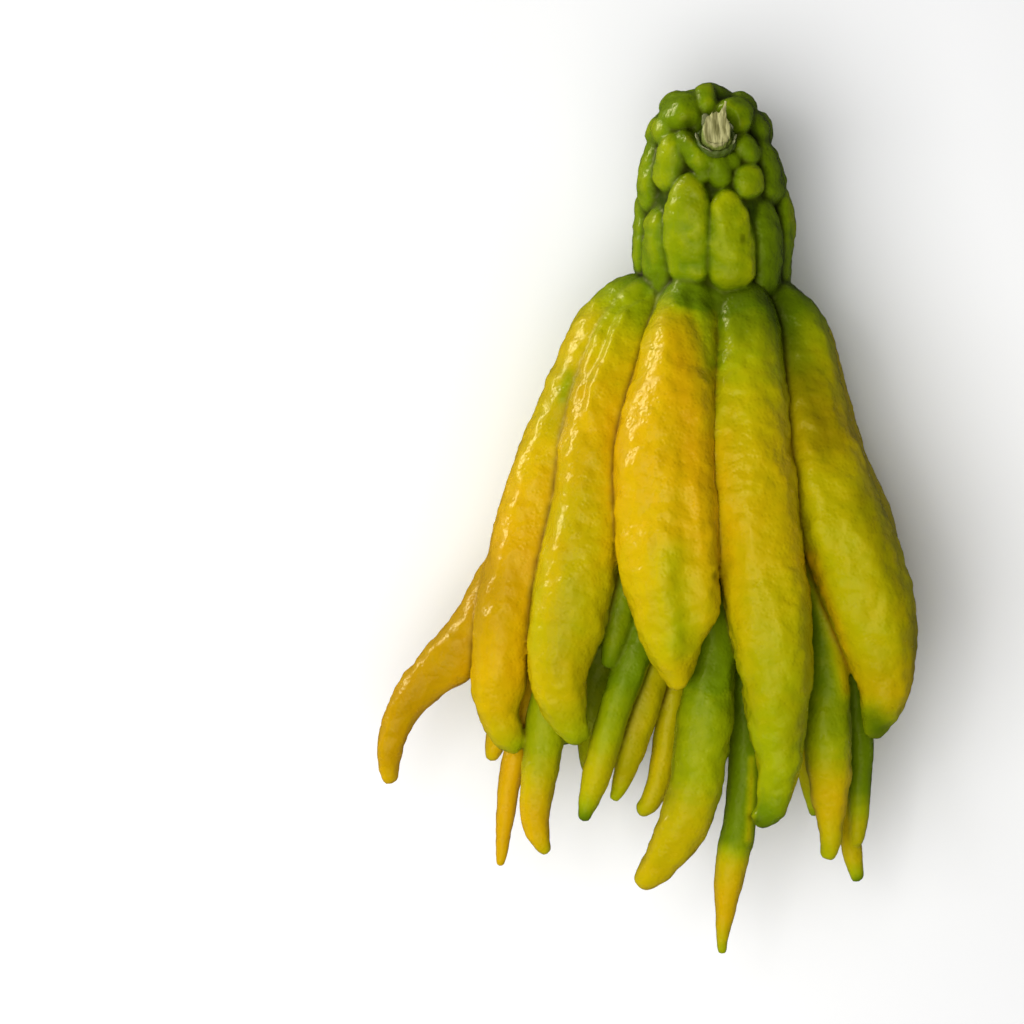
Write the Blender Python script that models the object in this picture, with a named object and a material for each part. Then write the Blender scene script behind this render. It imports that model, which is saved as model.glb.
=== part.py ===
"""Buddha's hand citron: one picked fruit lying on its back.

The fruit is a single rind. A lobed neck knob carries an outer whorl of thick fingers and an inner
tuft of thin ones, all grown together round a solid heart. The cut stalk and its calyx button sit in a
dimple at the end of the knob. +Y runs from the finger tips to the stalk, +Z is up, and the origin is
the centre of the fruit's footprint, on the surface that it lies on.

Every shape is drawn in millimetres and scaled to metres as it is meshed.
"""

import math

import bmesh
import bpy
from mathutils import Matrix, Vector

MM = 0.001

# Driving dimensions, millimetres
FLOOR_CUT = 0.0          # height of the flats where the back fingers press on the surface
SKIN_CELL = 1.5          # cell of the voxel grid that melts the fingers into one rind
SKIN_FACES = 9600        # triangles kept on the rind
FIT_GAP = 0.3            # clearance between two neighbouring solids
FRAME_SHIFT = Vector((0.0, 0.85, 0.0))    # brings the middle of the footprint to the origin

CALYX_RADIUS = 5.6
CALYX_HEIGHT = 3.2
STUB_RADIUS = 4.1
STUB_HEIGHT = 7.0
SLIVER_HEIGHT = 3.0
STALK_BASE = Vector((19.6, 107.6, 65.6))
STALK_LEAN = math.radians(55)    # of the stalk above the horizontal
SLIVER_TURN = math.radians(62)   # which side of the stub the torn sliver stands on

RING_SIDES = 16
RINGS_PER_STATION = 3
FINGER_SQUARENESS = 2.4  # superellipse power of a finger's cross-section, 2 is an ellipse

# Each finger is a list of stations from its root to its tip:
# x, y, z of the middle of the section, then its half width and half depth.
OUTER_FINGERS = {
    "front_gold": [
        (17, 67.5, 56, 4.5, 6), (12.5, 63.5, 62, 7.8, 8), (9.5, 55, 65, 10, 10),
        (8.8, 48, 66, 11.2, 11), (6.2, 33.5, 69, 12.9, 12), (4.5, 19, 71, 13.8, 13),
        (4.7, 5, 73, 14, 13), (5.5, -9.5, 75, 14, 12.5), (6.4, -23.5, 76, 12, 11.5),
        (7, -35, 77, 8.8, 9), (7.7, -43.5, 77, 5.2, 5.5), (7.6, -49.8, 77, 1.7, 2),
    ],
    "front_long": [
        (23.5, 68, 54, 4, 6), (27, 63.5, 60, 6.5, 8), (29, 55, 62, 8.6, 9.5),
        (29.7, 48, 63, 9.3, 10.5), (29.6, 33.5, 66, 11, 12), (29.9, 19, 68, 11.9, 12.5),
        (31, 5, 70, 12.1, 12.5), (32.2, -9.5, 71, 12.2, 12.5), (34.2, -23.5, 72, 12, 12.5),
        (36, -38, 72, 10.9, 11.5), (36.7, -52.5, 71, 9.1, 10), (37.5, -66.5, 70, 6.6, 7.5),
        (37, -78, 69, 5.2, 5.5), (34.5, -84.5, 68, 3.7, 4), (30.2, -87.3, 68, 1.7, 2),
    ],
    "right": [
        (33, 66.5, 50, 3.5, 6), (39, 62.3, 54, 5.6, 7), (43.4, 55.5, 55, 7.4, 8),
        (45.6, 48, 56, 8.4, 9), (47.6, 33.5, 58, 9.2, 10), (50.2, 19.5, 59, 9.8, 11),
        (54.5, 5, 60, 11.3, 12), (59, -9.5, 60, 12.7, 12.5), (64, -24, 60, 12.2, 12),
        (67.4, -38.5, 59, 10.1, 10.5), (68.5, -50, 58, 6.9, 8), (66.7, -58, 57, 4.9, 5.5),
        (64, -63.3, 56, 2, 2.5),
    ],
    "left": [
        (4, 66.5, 50, 3.5, 6), (-4, 63, 54, 5.8, 7.5), (-8.3, 55.5, 56, 7.9, 8.5),
        (-10.9, 48, 57, 8.9, 9), (-14.6, 33.5, 60, 9.2, 10), (-17.2, 19.5, 62, 9.3, 10),
        (-17.9, 5, 64, 9.8, 10.5), (-19.4, -9.5, 65, 11.2, 11.5), (-22, -24, 66, 10.9, 11.5),
        (-25, -38, 66, 9.2, 10), (-25.6, -46.5, 66, 7.7, 8.5), (-24.3, -54, 65, 6.3, 7),
        (-21.5, -60.5, 65, 4.3, 4.5), (-18.5, -65, 64, 1.7, 2),
    ],
    "far_left": [
        (-1, 66, 44, 3.5, 6), (-7.8, 62.5, 46, 5, 7), (-13, 55.5, 47, 6, 8),
        (-17, 48.5, 48, 6.6, 9), (-23, 34, 50, 7.3, 9.5), (-28.8, 19.5, 52, 7.7, 10),
        (-32.8, 5, 53, 8.1, 10.5), (-36.5, -9.5, 54, 8.4, 11), (-40, -24, 55, 8.4, 10.5),
        (-42, -38.5, 56, 7.8, 9), (-43.2, -50, 56, 7.2, 7.5), (-42.4, -58, 55, 5.2, 5.5),
        (-39.2, -64, 54, 3.8, 4), (-36, -66.8, 54, 1.7, 2),
    ],
    "left_branch": [
        (-29.5, 13.5, 40, 6, 8), (-36, -7, 43, 7, 9), (-42, -21, 45, 8.1, 9),
        (-48.8, -33, 46, 8.4, 9), (-57, -41.5, 46, 7.6, 8), (-64, -48, 45, 6.1, 6.5),
        (-69.8, -55, 44, 5, 5.5), (-73.3, -63, 43, 3.8, 4.2), (-75, -71.5, 42, 2.9, 3.2),
        (-73.8, -78, 42, 1.5, 1.8),
    ],
    "right_behind": [
        (33, 66, 36, 3.5, 7), (43, 57.5, 38, 6.6, 9), (48.6, 49, 40, 6.8, 9),
        (52, 34, 41, 6.6, 10), (55.8, 19.5, 42, 7.3, 10.5), (61.2, 5, 43, 7.6, 11),
        (65.6, -9.5, 43, 7.9, 11), (69.4, -24, 43, 8.2, 10), (71, -36, 43, 6.4, 8),
        (70.2, -47.5, 42, 4.1, 5), (68.4, -55, 42, 1.7, 2),
    ],
    "back_left": [
        (7, 66, 38, 4, 6), (-3, 58, 36, 6.5, 8), (-10.5, 48, 34, 7.5, 9), (-19.5, 33, 31, 8.5, 10),
        (-26, 18, 28, 9.2, 11), (-30.5, 3, 27, 9.6, 11), (-34.5, -12, 27, 9.8, 10.5),
        (-37.5, -27, 28, 9.3, 9.5), (-40, -39, 29, 7.5, 8), (-40.5, -48, 30, 4.5, 5.5),
        (-40, -54, 31, 2, 2),
    ],
    "back_left_rail": [
        (10, 64, 32, 5, 7), (3, 55, 27, 8, 9), (-2, 46, 22, 10, 10.5), (-7, 34, 17, 11.5, 12),
        (-12, 20, 13.4, 12.5, 12.5), (-15, 5, 11.9, 13, 12.6), (-17, -10, 11.9, 13, 12.6),
        (-19, -25, 12.2, 12.5, 12.4), (-20.5, -38, 13, 11, 11.5), (-21.5, -50, 15, 8.5, 9.5),
        (-22.5, -60, 18, 5, 6), (-23, -67.5, 20, 2, 2.5),
    ],
    "back_middle": [
        (16, 64, 30, 5, 7), (14, 55, 24, 8, 9), (12, 46, 20, 9.5, 10), (11, 34, 16.5, 10.5, 11),
        (10.3, 20, 14.5, 11.3, 11.5), (10, 5, 13.6, 11.7, 11.8), (10, -10, 13.6, 11.7, 11.6),
        (10, -25, 14.2, 11, 11), (9.6, -40, 15.5, 9.5, 10), (9.2, -52, 17, 7, 7.5),
        (9, -60, 18.5, 4, 4.5), (9, -65, 19.5, 1.5, 1.5),
    ],
    "back_right_rail": [
        (22, 64, 31, 5, 7), (25, 55, 26, 8, 9), (28, 46, 21.5, 10, 10.5), (31, 34, 17, 11.5, 12),
        (34, 20, 13.4, 12.5, 12.5), (36.5, 5, 11.9, 13, 12.6), (38.5, -10, 11.9, 13, 12.6),
        (40, -25, 12.2, 12.5, 12.4), (41.5, -38, 13.2, 11, 11.8), (42, -50, 15.5, 8, 9),
        (42, -59, 18, 4.5, 5.5), (41.5, -64, 20, 2, 2.5),
    ],
    "back_right": [
        (28, 66, 36, 4, 6), (35.5, 57, 32, 6.6, 8.5), (41, 47, 29, 7.6, 9.5),
        (46.5, 33, 27, 8.3, 10), (51, 19, 26, 9.5, 11), (55, 5, 26, 10.5, 11.5),
        (58.5, -10, 26, 11, 11.5), (61, -25, 27, 10.5, 10.5), (62, -38, 28, 8.5, 9),
        (61.5, -50, 30, 5.5, 6), (60, -57, 31, 2, 2),
    ],
}

INNER_FINGERS = {
    "short_green": [
        (-2, -1, 56, 3, 4), (-4.8, -15, 60, 3.8, 4.5), (-7.7, -27, 61, 3.8, 4),
        (-10, -37, 61, 2.9, 3.5), (-11.4, -43.6, 61, 1.4, 2),
    ],
    "slim_green": [
        (4, -1, 52, 3.5, 5), (0.5, -21, 56, 4.6, 5.5), (-2.4, -35.5, 58, 4.9, 5.5),
        (-6.2, -47, 59, 4.6, 5), (-10.2, -59, 59, 4.1, 4.5), (-14, -73.3, 58, 3.8, 4),
        (-17, -82, 57, 2.6, 3), (-18.3, -88, 57, 1.2, 1.3),
    ],
    "slim_olive": [
        (8, -12.5, 44, 4.1, 5), (4.8, -33, 48, 4.7, 5.5), (1.2, -47.5, 51, 4.7, 5),
        (-2.3, -59, 52, 4.4, 4.5), (-5, -69, 52, 3.5, 4), (-7.5, -78, 51, 2.3, 2.5),
        (-9.8, -82.5, 51, 1.2, 1.3),
    ],
    "slim_hooked": [
        (13, -18.5, 40, 3.5, 5), (10.2, -39, 43, 3.8, 5), (7.2, -56.5, 45, 3.5, 4.5),
        (5.7, -68, 45, 3.2, 4), (3.7, -78, 45, 3.2, 3.5), (0.5, -84, 45, 2.6, 3),
        (-2.7, -85.5, 45, 1.5, 1.8),
    ],
    "large_green": [
        (22, -1, 52, 5.2, 7), (20.3, -24, 59, 6.2, 8), (18.2, -44.3, 61, 6.9, 8),
        (16.4, -58.7, 61, 7.8, 8.5), (14.9, -73, 60, 7.5, 8), (11.5, -86, 58, 7.2, 7.5),
        (6.3, -96.5, 56, 5.8, 6), (1, -103.5, 54, 3.8, 4), (-2.3, -106.5, 53, 1.7, 2),
    ],
    "longest": [
        (28.4, -12.5, 42, 3.8, 5), (28.8, -39, 47, 4.4, 5.5), (28.4, -59, 49, 4.4, 5),
        (28.6, -76.5, 49, 4.4, 4.5), (27, -89.5, 49, 4.4, 4.5), (25.1, -100, 48, 4.3, 4),
        (24, -107, 48, 3.5, 3.5), (23, -116, 47, 2.3, 2.5), (22.3, -122.5, 47, 1.3, 1.6),
        (22, -127, 47, 0.9, 1),
    ],
    "right_hooked": [
        (45, -1, 46, 4.7, 6), (49, -21, 51, 5.2, 6.5), (51.4, -35.7, 53, 5.5, 6.5),
        (52.6, -50, 54, 5.8, 6), (52.4, -64.7, 54, 6.7, 6.5), (52.8, -76.3, 53, 5.8, 5.5),
        (53.4, -85, 52, 4.1, 4), (53.5, -94, 51, 2.6, 3), (52.1, -99.7, 51, 1.5, 1.8),
    ],
    "right_green": [
        (54, -12.5, 38, 4.1, 6), (58.6, -33, 40, 4.4, 5.5), (61, -50.5, 42, 4.1, 5),
        (62.6, -65, 42, 3.5, 4), (62.4, -79.5, 42, 2.9, 3.5), (62, -90, 41, 2.3, 2.5),
        (61.2, -96.6, 41, 1.2, 1.3),
    ],
    "right_gold": [
        (52, -36, 34, 3.5, 5), (56, -59.5, 36, 3.5, 4.5), (58.8, -77, 38, 3.2, 4),
        (59.6, -91.5, 38, 2.9, 3.5), (60.8, -100.3, 38, 2.3, 2.5), (62.3, -106.7, 38, 1.2, 1.3),
    ],
    "right_sliver": [
        (42.5, -36, 36, 3.5, 5), (44.7, -56.4, 38, 3.2, 4), (46.4, -71, 40, 2.6, 3),
        (48.3, -81, 41, 1.8, 2), (49.5, -87.5, 41, 0.9, 1),
    ],
    "left_green_gold": [
        (-16, -12.5, 46, 4.7, 6), (-23.2, -35.7, 50, 5.2, 6), (-27.9, -53, 53, 5.5, 6),
        (-29.9, -67.6, 53, 5.2, 5.5), (-31.9, -79.2, 53, 4.6, 5), (-32.2, -88, 52, 3.8, 4),
        (-30.5, -94.3, 52, 2.6, 3), (-28.2, -97.5, 52, 1.2, 1.3),
    ],
    "left_thin_gold": [
        (-25, -24, 40, 4.1, 5), (-32.2, -47.5, 42, 3.8, 4.5), (-37.4, -66.4, 44, 3.2, 4),
        (-40, -79.5, 44, 2.9, 3.5), (-41.2, -91, 44, 2, 2.5), (-42, -98.4, 44, 1.5, 1.5),
        (-42.4, -102, 44, 0.7, 0.8),
    ],
    "left_olive": [
        (-25, -12.5, 36, 4.1, 6), (-29.3, -36, 40, 4.1, 5.5), (-33, -50.5, 42, 3.5, 4.5),
        (-34.5, -57.7, 42, 2.6, 3), (-34.8, -61.5, 42, 1.2, 1.3),
    ],
    "left_amber": [
        (-33.6, -36, 36, 4.7, 6), (-39.5, -53.5, 38, 4.1, 5), (-43.3, -65.2, 38, 2.9, 3.5),
        (-45.3, -71.6, 38, 1.2, 1.3),
    ],
    "under_left": [
        (-24, -20, 30, 6, 6), (-28, -45, 31, 6, 6), (-30, -62, 32, 4.5, 4.5),
        (-31, -74, 33, 2.5, 3), (-31, -79, 33, 1, 1.2),
    ],
    "under_mid_left": [
        (-10, -15, 34, 5, 6), (-13, -40, 33, 6, 6), (-15, -60, 32, 5, 5), (-15, -74, 32, 3, 3.5),
        (-15, -80, 32, 1, 1.3),
    ],
    "under_middle": [
        (14, -20, 28, 6, 6), (13, -45, 27, 6.5, 6), (12, -65, 28, 5.5, 5), (11, -78, 30, 3.5, 3.5),
        (10, -86, 31, 1, 1.3),
    ],
    "under_mid_right": [
        (34, -20, 30, 6, 6), (36, -45, 30, 6, 6), (36, -65, 31, 5, 5), (35, -76, 32, 3, 3),
        (34, -81, 33, 1, 1.2),
    ],
    "under_right": [
        (50, -15, 30, 6, 6), (52, -45, 30, 5.5, 5.5), (53, -65, 31, 4.5, 4.5),
        (53, -77, 32, 2.5, 3), (53, -82, 33, 1, 1.2),
    ],
}

# The solid heart that the fingers grow from, and the core of the neck knob.
HEART = [
    (19.7, 76, 44, 14, 14), (19.5, 66, 44, 18, 18), (18, 52, 43, 25, 22), (16.5, 36, 43, 31, 25),
    (15, 18, 43, 36, 27), (14, 2, 42, 38, 27), (14, -10, 40, 34, 23), (14, -18, 38, 24, 15),
    (14, -23, 36, 8, 5),
]
KNOB_CORE = [
    (19.8, 60, 44, 12, 12), (19.8, 66, 44, 16, 16), (19.7, 72, 44.5, 18, 18),
    (19.5, 81, 45.5, 18.6, 18.6), (19, 92, 47.5, 17.6, 17.6), (18.7, 101, 49.5, 15.6, 15.6),
    (18.4, 109, 51.5, 13.4, 13), (18, 115, 52.8, 10, 10), (17.5, 120, 53.5, 5, 5),
]
# The knob's form along its length: y, x of the middle, radius, z of the middle.
KNOB_FORM = [
    (60, 19.9, 17.5, 44), (68, 19.8, 19.6, 44.3), (80.5, 19.8, 21, 45.5), (89, 19.2, 20.9, 47),
    (95, 19, 19.6, 48.4), (101, 18.7, 18.4, 49.7), (106.5, 18.3, 17, 51), (112.5, 18.5, 15.6, 52),
    (116, 18.3, 13.8, 53), (119, 18, 11.4, 53.5), (123, 17.2, 7, 54), (125, 16.5, 3, 54),
]
# Knob lobes: angle round the knob (0 right, 90 up, 270 down), y of the middle, half length, half width,
# and how far the lobe is turned from the knob's own run (degrees, its upper end towards the left).
KNOB_LOBES = [
    # the ring of long ribs
    (22, 79, 13.5, 5.6, 0), (51, 78.5, 13.5, 5.2, 0), (79, 76.5, 12, 6.2, 0),
    (82, 87.5, 8, 4.4, 0), (110, 82, 17, 6.5, 0), (143, 78, 13.6, 6, -4), (173, 77, 12.5, 6, 0),
    (203, 80, 14, 6, 0), (233, 79, 14.5, 6.2, 3), (264, 81, 14.5, 6.2, 0), (296, 79, 14, 6.2, -3),
    (327, 80, 14, 5.8, 0), (354, 79, 13, 5.4, 0),
    # the broken ring above them
    (172, 98.5, 11, 5, 3), (134, 99.6, 8.6, 4.8, 0), (113, 104.6, 7.6, 3.9, 42),
    (89, 98.8, 4.8, 3.7, 8), (101, 99.5, 2.6, 2.4, 0), (62, 96, 5.2, 4.2, 0),
    (61, 105.6, 5.6, 3.4, 24), (75, 101.5, 2.6, 2.6, 0), (36, 97.5, 7, 4.6, 0), (12, 98, 7, 5, 0),
    (343, 99.5, 7, 5.2, 10), (312, 99, 7.5, 5.4, 0), (282, 101, 7.5, 5.2, -12),
    (252, 99, 7.5, 5.4, 0), (222, 101, 8, 5.4, 14), (196, 99, 8, 5, 0),
    # the crown round the stalk
    (152, 111.6, 5.2, 5, 20), (130, 117.6, 6, 5.6, 0), (97, 120.8, 4.6, 3, 0),
    (52, 117.2, 6.6, 6.6, 0), (34, 109.5, 6, 4.4, 10), (5, 110, 6.4, 5.4, 0),
    (335, 112, 6, 5.6, 0), (300, 111, 6, 5.8, 10), (265, 113, 6, 5.8, 0), (230, 111, 6, 5.8, -10),
    (200, 112, 6, 5.4, 0), (176, 111, 5, 4.6, 0), (190, 119, 4.6, 5, 0), (15, 119, 5, 5, 0),
    (285, 119.5, 5, 6.4, 0), (235, 119.5, 5, 6, 0),
]
LOBE_RISE = 4.6          # half depth of a lobe
LOBE_SINK = 2.4          # how far a lobe's middle lies under the knob's form


def spline(stations, per_span):
    """Points along a smooth curve through the stations, every number of a station blended alike."""
    rows = [Vector(row) for row in stations]
    ends = [rows[0] * 2 - rows[1]] + rows + [rows[-1] * 2 - rows[-2]]
    points = []
    for before, start, stop, after in zip(ends, ends[1:], ends[2:], ends[3:]):
        for step in range(per_span):
            t = step / per_span
            points.append(
                0.5 * (2 * start + (stop - before) * t
                       + (2 * before - 5 * start + 4 * stop - after) * t * t
                       + (3 * start - before - 3 * stop + after) * t ** 3)
            )
    return points + [rows[-1]]


def signed_power(value, power):
    return math.copysign(abs(value) ** power, value)


def section(middle, side, rise, squareness):
    """One ring of points: a superellipse spanned by two half-axis vectors."""
    ring = []
    for corner in range(RING_SIDES):
        angle = 2 * math.pi * corner / RING_SIDES
        across = signed_power(math.cos(angle), 2 / squareness)
        up = signed_power(math.sin(angle), 2 / squareness)
        ring.append(middle + side * across + rise * up)
    return ring


def skin_rings(bm, rings):
    """Closes a run of rings into one tube with flat ends."""
    loops = [[bm.verts.new(point * MM) for point in ring] for ring in rings]
    for near, far in zip(loops, loops[1:]):
        for corner in range(RING_SIDES):
            following = (corner + 1) % RING_SIDES
            bm.faces.new((near[corner], near[following], far[following], far[corner]))
    bm.faces.new(list(reversed(loops[0])))
    bm.faces.new(loops[-1])


def finger(bm, stations, squareness=FINGER_SQUARENESS):
    """A tube through the stations, its sections square to its run and kept level."""
    points = spline([(*row, 0.0) for row in stations], RINGS_PER_STATION)
    places = [Vector(point[:3]) for point in points]
    rings = []
    for index, point in enumerate(points):
        ahead = places[min(index + 1, len(places) - 1)]
        behind = places[max(index - 1, 0)]
        along = (ahead - behind).normalized()
        side = along.cross(Vector((0, 0, 1))).normalized()
        rise = side.cross(along)
        half_width = max(point[3], 0.4)
        half_depth = max(point[4], 0.4)
        rings.append(section(places[index], side * half_width, rise * half_depth, squareness))
    skin_rings(bm, rings)


def knob_form(y):
    """The knob's middle x, radius and middle z at y."""
    for lower, upper in zip(KNOB_FORM, KNOB_FORM[1:]):
        if y <= upper[0]:
            t = max(0.0, (y - lower[0]) / (upper[0] - lower[0]))
            return [a + (b - a) * t for a, b in zip(lower[1:], upper[1:])]
    return KNOB_FORM[-1][1:]


def knob_point(angle, y):
    middle, radius, height = knob_form(y)
    reach = max(radius - LOBE_SINK, 0.5)
    turn = math.radians(angle)
    return Vector((middle + reach * math.cos(turn), y, height + reach * math.sin(turn)))


def knob_lobe(bm, angle, middle, half_length, half_width, slant):
    """A rounded pad lying along the knob's surface."""
    foot = knob_point(angle, middle - half_length / 2)
    head = knob_point(angle, middle + half_length / 2)
    along = (head - foot).normalized()
    turn = math.radians(angle)
    side = along.cross(Vector((math.cos(turn), 0, math.sin(turn)))).normalized()
    outward = side.cross(along)
    lean = Matrix.Rotation(math.radians(slant), 3, outward)
    along = lean @ along
    side = lean @ side
    place = Matrix((side, along, outward)).transposed().to_4x4()
    place.translation = knob_point(angle, middle) * MM
    rise = min(LOBE_RISE, half_width)
    size = Matrix.Diagonal((half_width, half_length, rise, 1 / MM)) * MM
    bmesh.ops.create_uvsphere(bm, u_segments=16, v_segments=10, radius=1.0, matrix=place @ size)


def new_object(name, bm):
    mesh = bpy.data.meshes.new(name)
    bmesh.ops.recalc_face_normals(bm, faces=bm.faces)
    bm.to_mesh(mesh)
    bm.free()
    item = bpy.data.objects.new(name, mesh)
    bpy.context.collection.objects.link(item)
    return item


def settle_modifiers(item):
    """Replaces an object's mesh by what its modifiers make of it."""
    graph = bpy.context.evaluated_depsgraph_get()
    mesh = bpy.data.meshes.new_from_object(item.evaluated_get(graph))
    item.modifiers.clear()
    item.data = mesh


def keep_outer_shell(item):
    """Deletes every loose body except the largest, such as the wall of a pocket shut inside."""
    bm = bmesh.new()
    bm.from_mesh(item.data)
    left = set(bm.verts)
    shells = []
    while left:
        shell = {left.pop()}
        edge = list(shell)
        while edge:
            vert = edge.pop()
            for link in vert.link_edges:
                other = link.other_vert(vert)
                if other in left:
                    left.remove(other)
                    shell.add(other)
                    edge.append(other)
        shells.append(shell)
    shells.sort(key=len)
    loose = [vert for shell in shells[:-1] for vert in shell]
    bmesh.ops.delete(bm, geom=loose, context="VERTS")
    bm.to_mesh(item.data)
    bm.free()


def flatten_base(item):
    """Cuts off what lies under the surface, leaving true flats there."""
    bm = bmesh.new()
    bm.from_mesh(item.data)
    cut = bmesh.ops.bisect_plane(
        bm, geom=bm.verts[:] + bm.edges[:] + bm.faces[:], dist=1e-6,
        plane_co=(0, 0, FLOOR_CUT * MM), plane_no=(0, 0, 1), clear_inner=True,
    )
    rim = [part for part in cut["geom_cut"] if isinstance(part, bmesh.types.BMEdge)]
    bmesh.ops.holes_fill(bm, edges=rim, sides=0)
    bmesh.ops.triangulate(bm, faces=bm.faces)
    bm.to_mesh(item.data)
    bm.free()


def stalk_frame():
    """Turns +Z to the way the stalk points, from the bottom of its dimple."""
    return Matrix.Translation(STALK_BASE * MM) @ Matrix.Rotation(STALK_LEAN - math.pi / 2, 4, "X")


def turned_solid(name, profile, sides=20, lobes=0, lobe_depth=0.0, peak=0.0):
    """A closed solid turned round the stalk's axis from (radius, height) pairs, bottom to top.

    lobes scallops its rim, and peak draws one side of its top up into a torn sliver.
    """
    bm = bmesh.new()
    frame = stalk_frame()
    loops = []
    for radius, level in profile:
        share = level / profile[-1][1]
        loop = []
        for side in range(sides):
            angle = 2 * math.pi * side / sides
            reach = radius * (1 + lobe_depth * share * math.cos(lobes * angle))
            lift = peak * max(0.0, math.cos(angle - SLIVER_TURN)) ** 4 if level == profile[-1][1] else 0.0
            point = Vector((reach * math.cos(angle), reach * math.sin(angle), level + lift))
            loop.append(bm.verts.new(frame @ (point * MM)))
        loops.append(loop)
    for near, far in zip(loops, loops[1:]):
        for side in range(sides):
            following = (side + 1) % sides
            bm.faces.new((near[side], near[following], far[following], far[side]))
    for loop in (loops[0], loops[-1]):
        middle = bm.verts.new(sum((vert.co for vert in loop), Vector()) / sides)
        for side in range(sides):
            bm.faces.new((loop[side], loop[(side + 1) % sides], middle))
    return new_object(name, bm)


def cut_by(item, tool):
    """Hollows an object by a cutter, which stays as a hidden guide."""
    tool.hide_render = True
    tool.display_type = "WIRE"
    boolean = item.modifiers.new("Cut", "BOOLEAN")
    boolean.operation = "DIFFERENCE"
    boolean.solver = "EXACT"
    boolean.object = tool


def surface_material(name, colour, roughness):
    material = bpy.data.materials.new(name)
    material.use_nodes = True
    shader = material.node_tree.nodes["Principled BSDF"]
    shader.inputs["Base Color"].default_value = (*colour, 1.0)
    shader.inputs["Roughness"].default_value = roughness
    shader.inputs["Metallic"].default_value = 0.0
    return material


def build_fruit():
    bm = bmesh.new()
    for stations in OUTER_FINGERS.values():
        finger(bm, stations)
    for stations in INNER_FINGERS.values():
        finger(bm, stations)
    finger(bm, HEART, squareness=2.0)
    finger(bm, KNOB_CORE, squareness=2.0)
    for lobe in KNOB_LOBES:
        knob_lobe(bm, *lobe)
    fruit = new_object("fruit", bm)
    melt = fruit.modifiers.new("Melt", "REMESH")
    melt.mode = "VOXEL"
    melt.voxel_size = SKIN_CELL * MM
    soften = fruit.modifiers.new("Soften", "SMOOTH")
    soften.factor = 0.5
    soften.iterations = 1
    settle_modifiers(fruit)
    keep_outer_shell(fruit)
    thin = fruit.modifiers.new("Thin", "DECIMATE")
    thin.ratio = SKIN_FACES / (2 * len(fruit.data.polygons))
    settle_modifiers(fruit)
    flatten_base(fruit)
    return fruit


def build_stalk(fruit):
    """The calyx button in its dimple, and the cut stub that stands in the button."""
    calyx = turned_solid(
        "calyx", [(2.4, 0.0), (3.8, 0.3), (5.0, 1.4), (CALYX_RADIUS, 2.6), (5.1, CALYX_HEIGHT)],
        lobes=5, lobe_depth=0.05,
    )
    stub = turned_solid(
        "stem_stub",
        [(STUB_RADIUS * 0.8, 1.2), (STUB_RADIUS, 2.8), (STUB_RADIUS, 4.2), (STUB_RADIUS * 0.84, 5.6),
         (STUB_RADIUS * 0.55, STUB_HEIGHT)],
        peak=SLIVER_HEIGHT,
    )
    dimple = turned_solid(
        "dimple", [(2.6, -FIT_GAP), (4.2, 0.0), (5.5, 1.1), (CALYX_RADIUS * 1.05 + FIT_GAP, 2.4),
                   (8.0, 6.0), (12.0, 14.0)],
    )
    socket = turned_solid(
        "socket", [(STUB_RADIUS * 0.8 + FIT_GAP, 1.2 - FIT_GAP), (STUB_RADIUS + FIT_GAP, 2.6),
                   (STUB_RADIUS + FIT_GAP, 6.0)],
    )
    cut_by(fruit, dimple)
    cut_by(calyx, socket)
    return calyx, stub


def main():
    for item in list(bpy.data.objects):
        bpy.data.objects.remove(item, do_unlink=True)
    fruit = build_fruit()
    calyx, stub = build_stalk(fruit)
    rind = surface_material("rind", (0.55, 0.42, 0.02), 0.38)
    button = surface_material("calyx_green", (0.12, 0.18, 0.03), 0.55)
    wood = surface_material("stalk_wood", (0.45, 0.43, 0.2), 0.75)
    for item, material in ((fruit, rind), (calyx, button), (stub, wood)):
        item.data.materials.clear()
        item.data.materials.append(material)
        item.data.shade_smooth()
    for item in bpy.data.objects:
        item.data.transform(Matrix.Translation(FRAME_SHIFT * MM))


main()
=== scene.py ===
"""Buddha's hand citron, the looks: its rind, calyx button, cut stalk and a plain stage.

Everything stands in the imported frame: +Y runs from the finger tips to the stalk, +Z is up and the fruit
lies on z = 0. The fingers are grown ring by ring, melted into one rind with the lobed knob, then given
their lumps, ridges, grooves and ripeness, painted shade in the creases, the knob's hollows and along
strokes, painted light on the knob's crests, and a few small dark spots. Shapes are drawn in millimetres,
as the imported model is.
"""
import math

import bmesh
import bpy
import numpy as np
from mathutils import Matrix, Vector


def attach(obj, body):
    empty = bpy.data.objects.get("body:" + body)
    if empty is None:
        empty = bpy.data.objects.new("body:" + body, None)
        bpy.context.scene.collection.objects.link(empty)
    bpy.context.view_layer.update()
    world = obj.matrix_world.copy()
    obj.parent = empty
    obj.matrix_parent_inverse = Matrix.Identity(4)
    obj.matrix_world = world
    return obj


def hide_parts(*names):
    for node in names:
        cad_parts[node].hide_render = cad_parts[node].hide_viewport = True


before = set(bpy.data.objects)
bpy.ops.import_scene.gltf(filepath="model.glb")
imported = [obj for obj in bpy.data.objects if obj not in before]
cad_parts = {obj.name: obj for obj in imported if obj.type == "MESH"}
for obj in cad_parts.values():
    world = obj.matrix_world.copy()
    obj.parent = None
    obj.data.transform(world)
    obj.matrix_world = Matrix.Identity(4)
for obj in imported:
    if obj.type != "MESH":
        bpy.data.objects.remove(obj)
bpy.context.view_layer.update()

bl_info = {
    "name": "Buddha's Hand Citron",
    "version": (1, 0, 0),
    "blender": (4, 5, 0),
    "location": "View3D > Sidebar > Citron",
    "description": "Grows a Buddha's hand citron and the plain stage that it lies on",
    "category": "Add Mesh",
}

MM = 0.001
FRAME_SHIFT = Vector((0.0, 0.85, 0.0))   # from the drawing's origin to the frame's, millimetres

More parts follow.
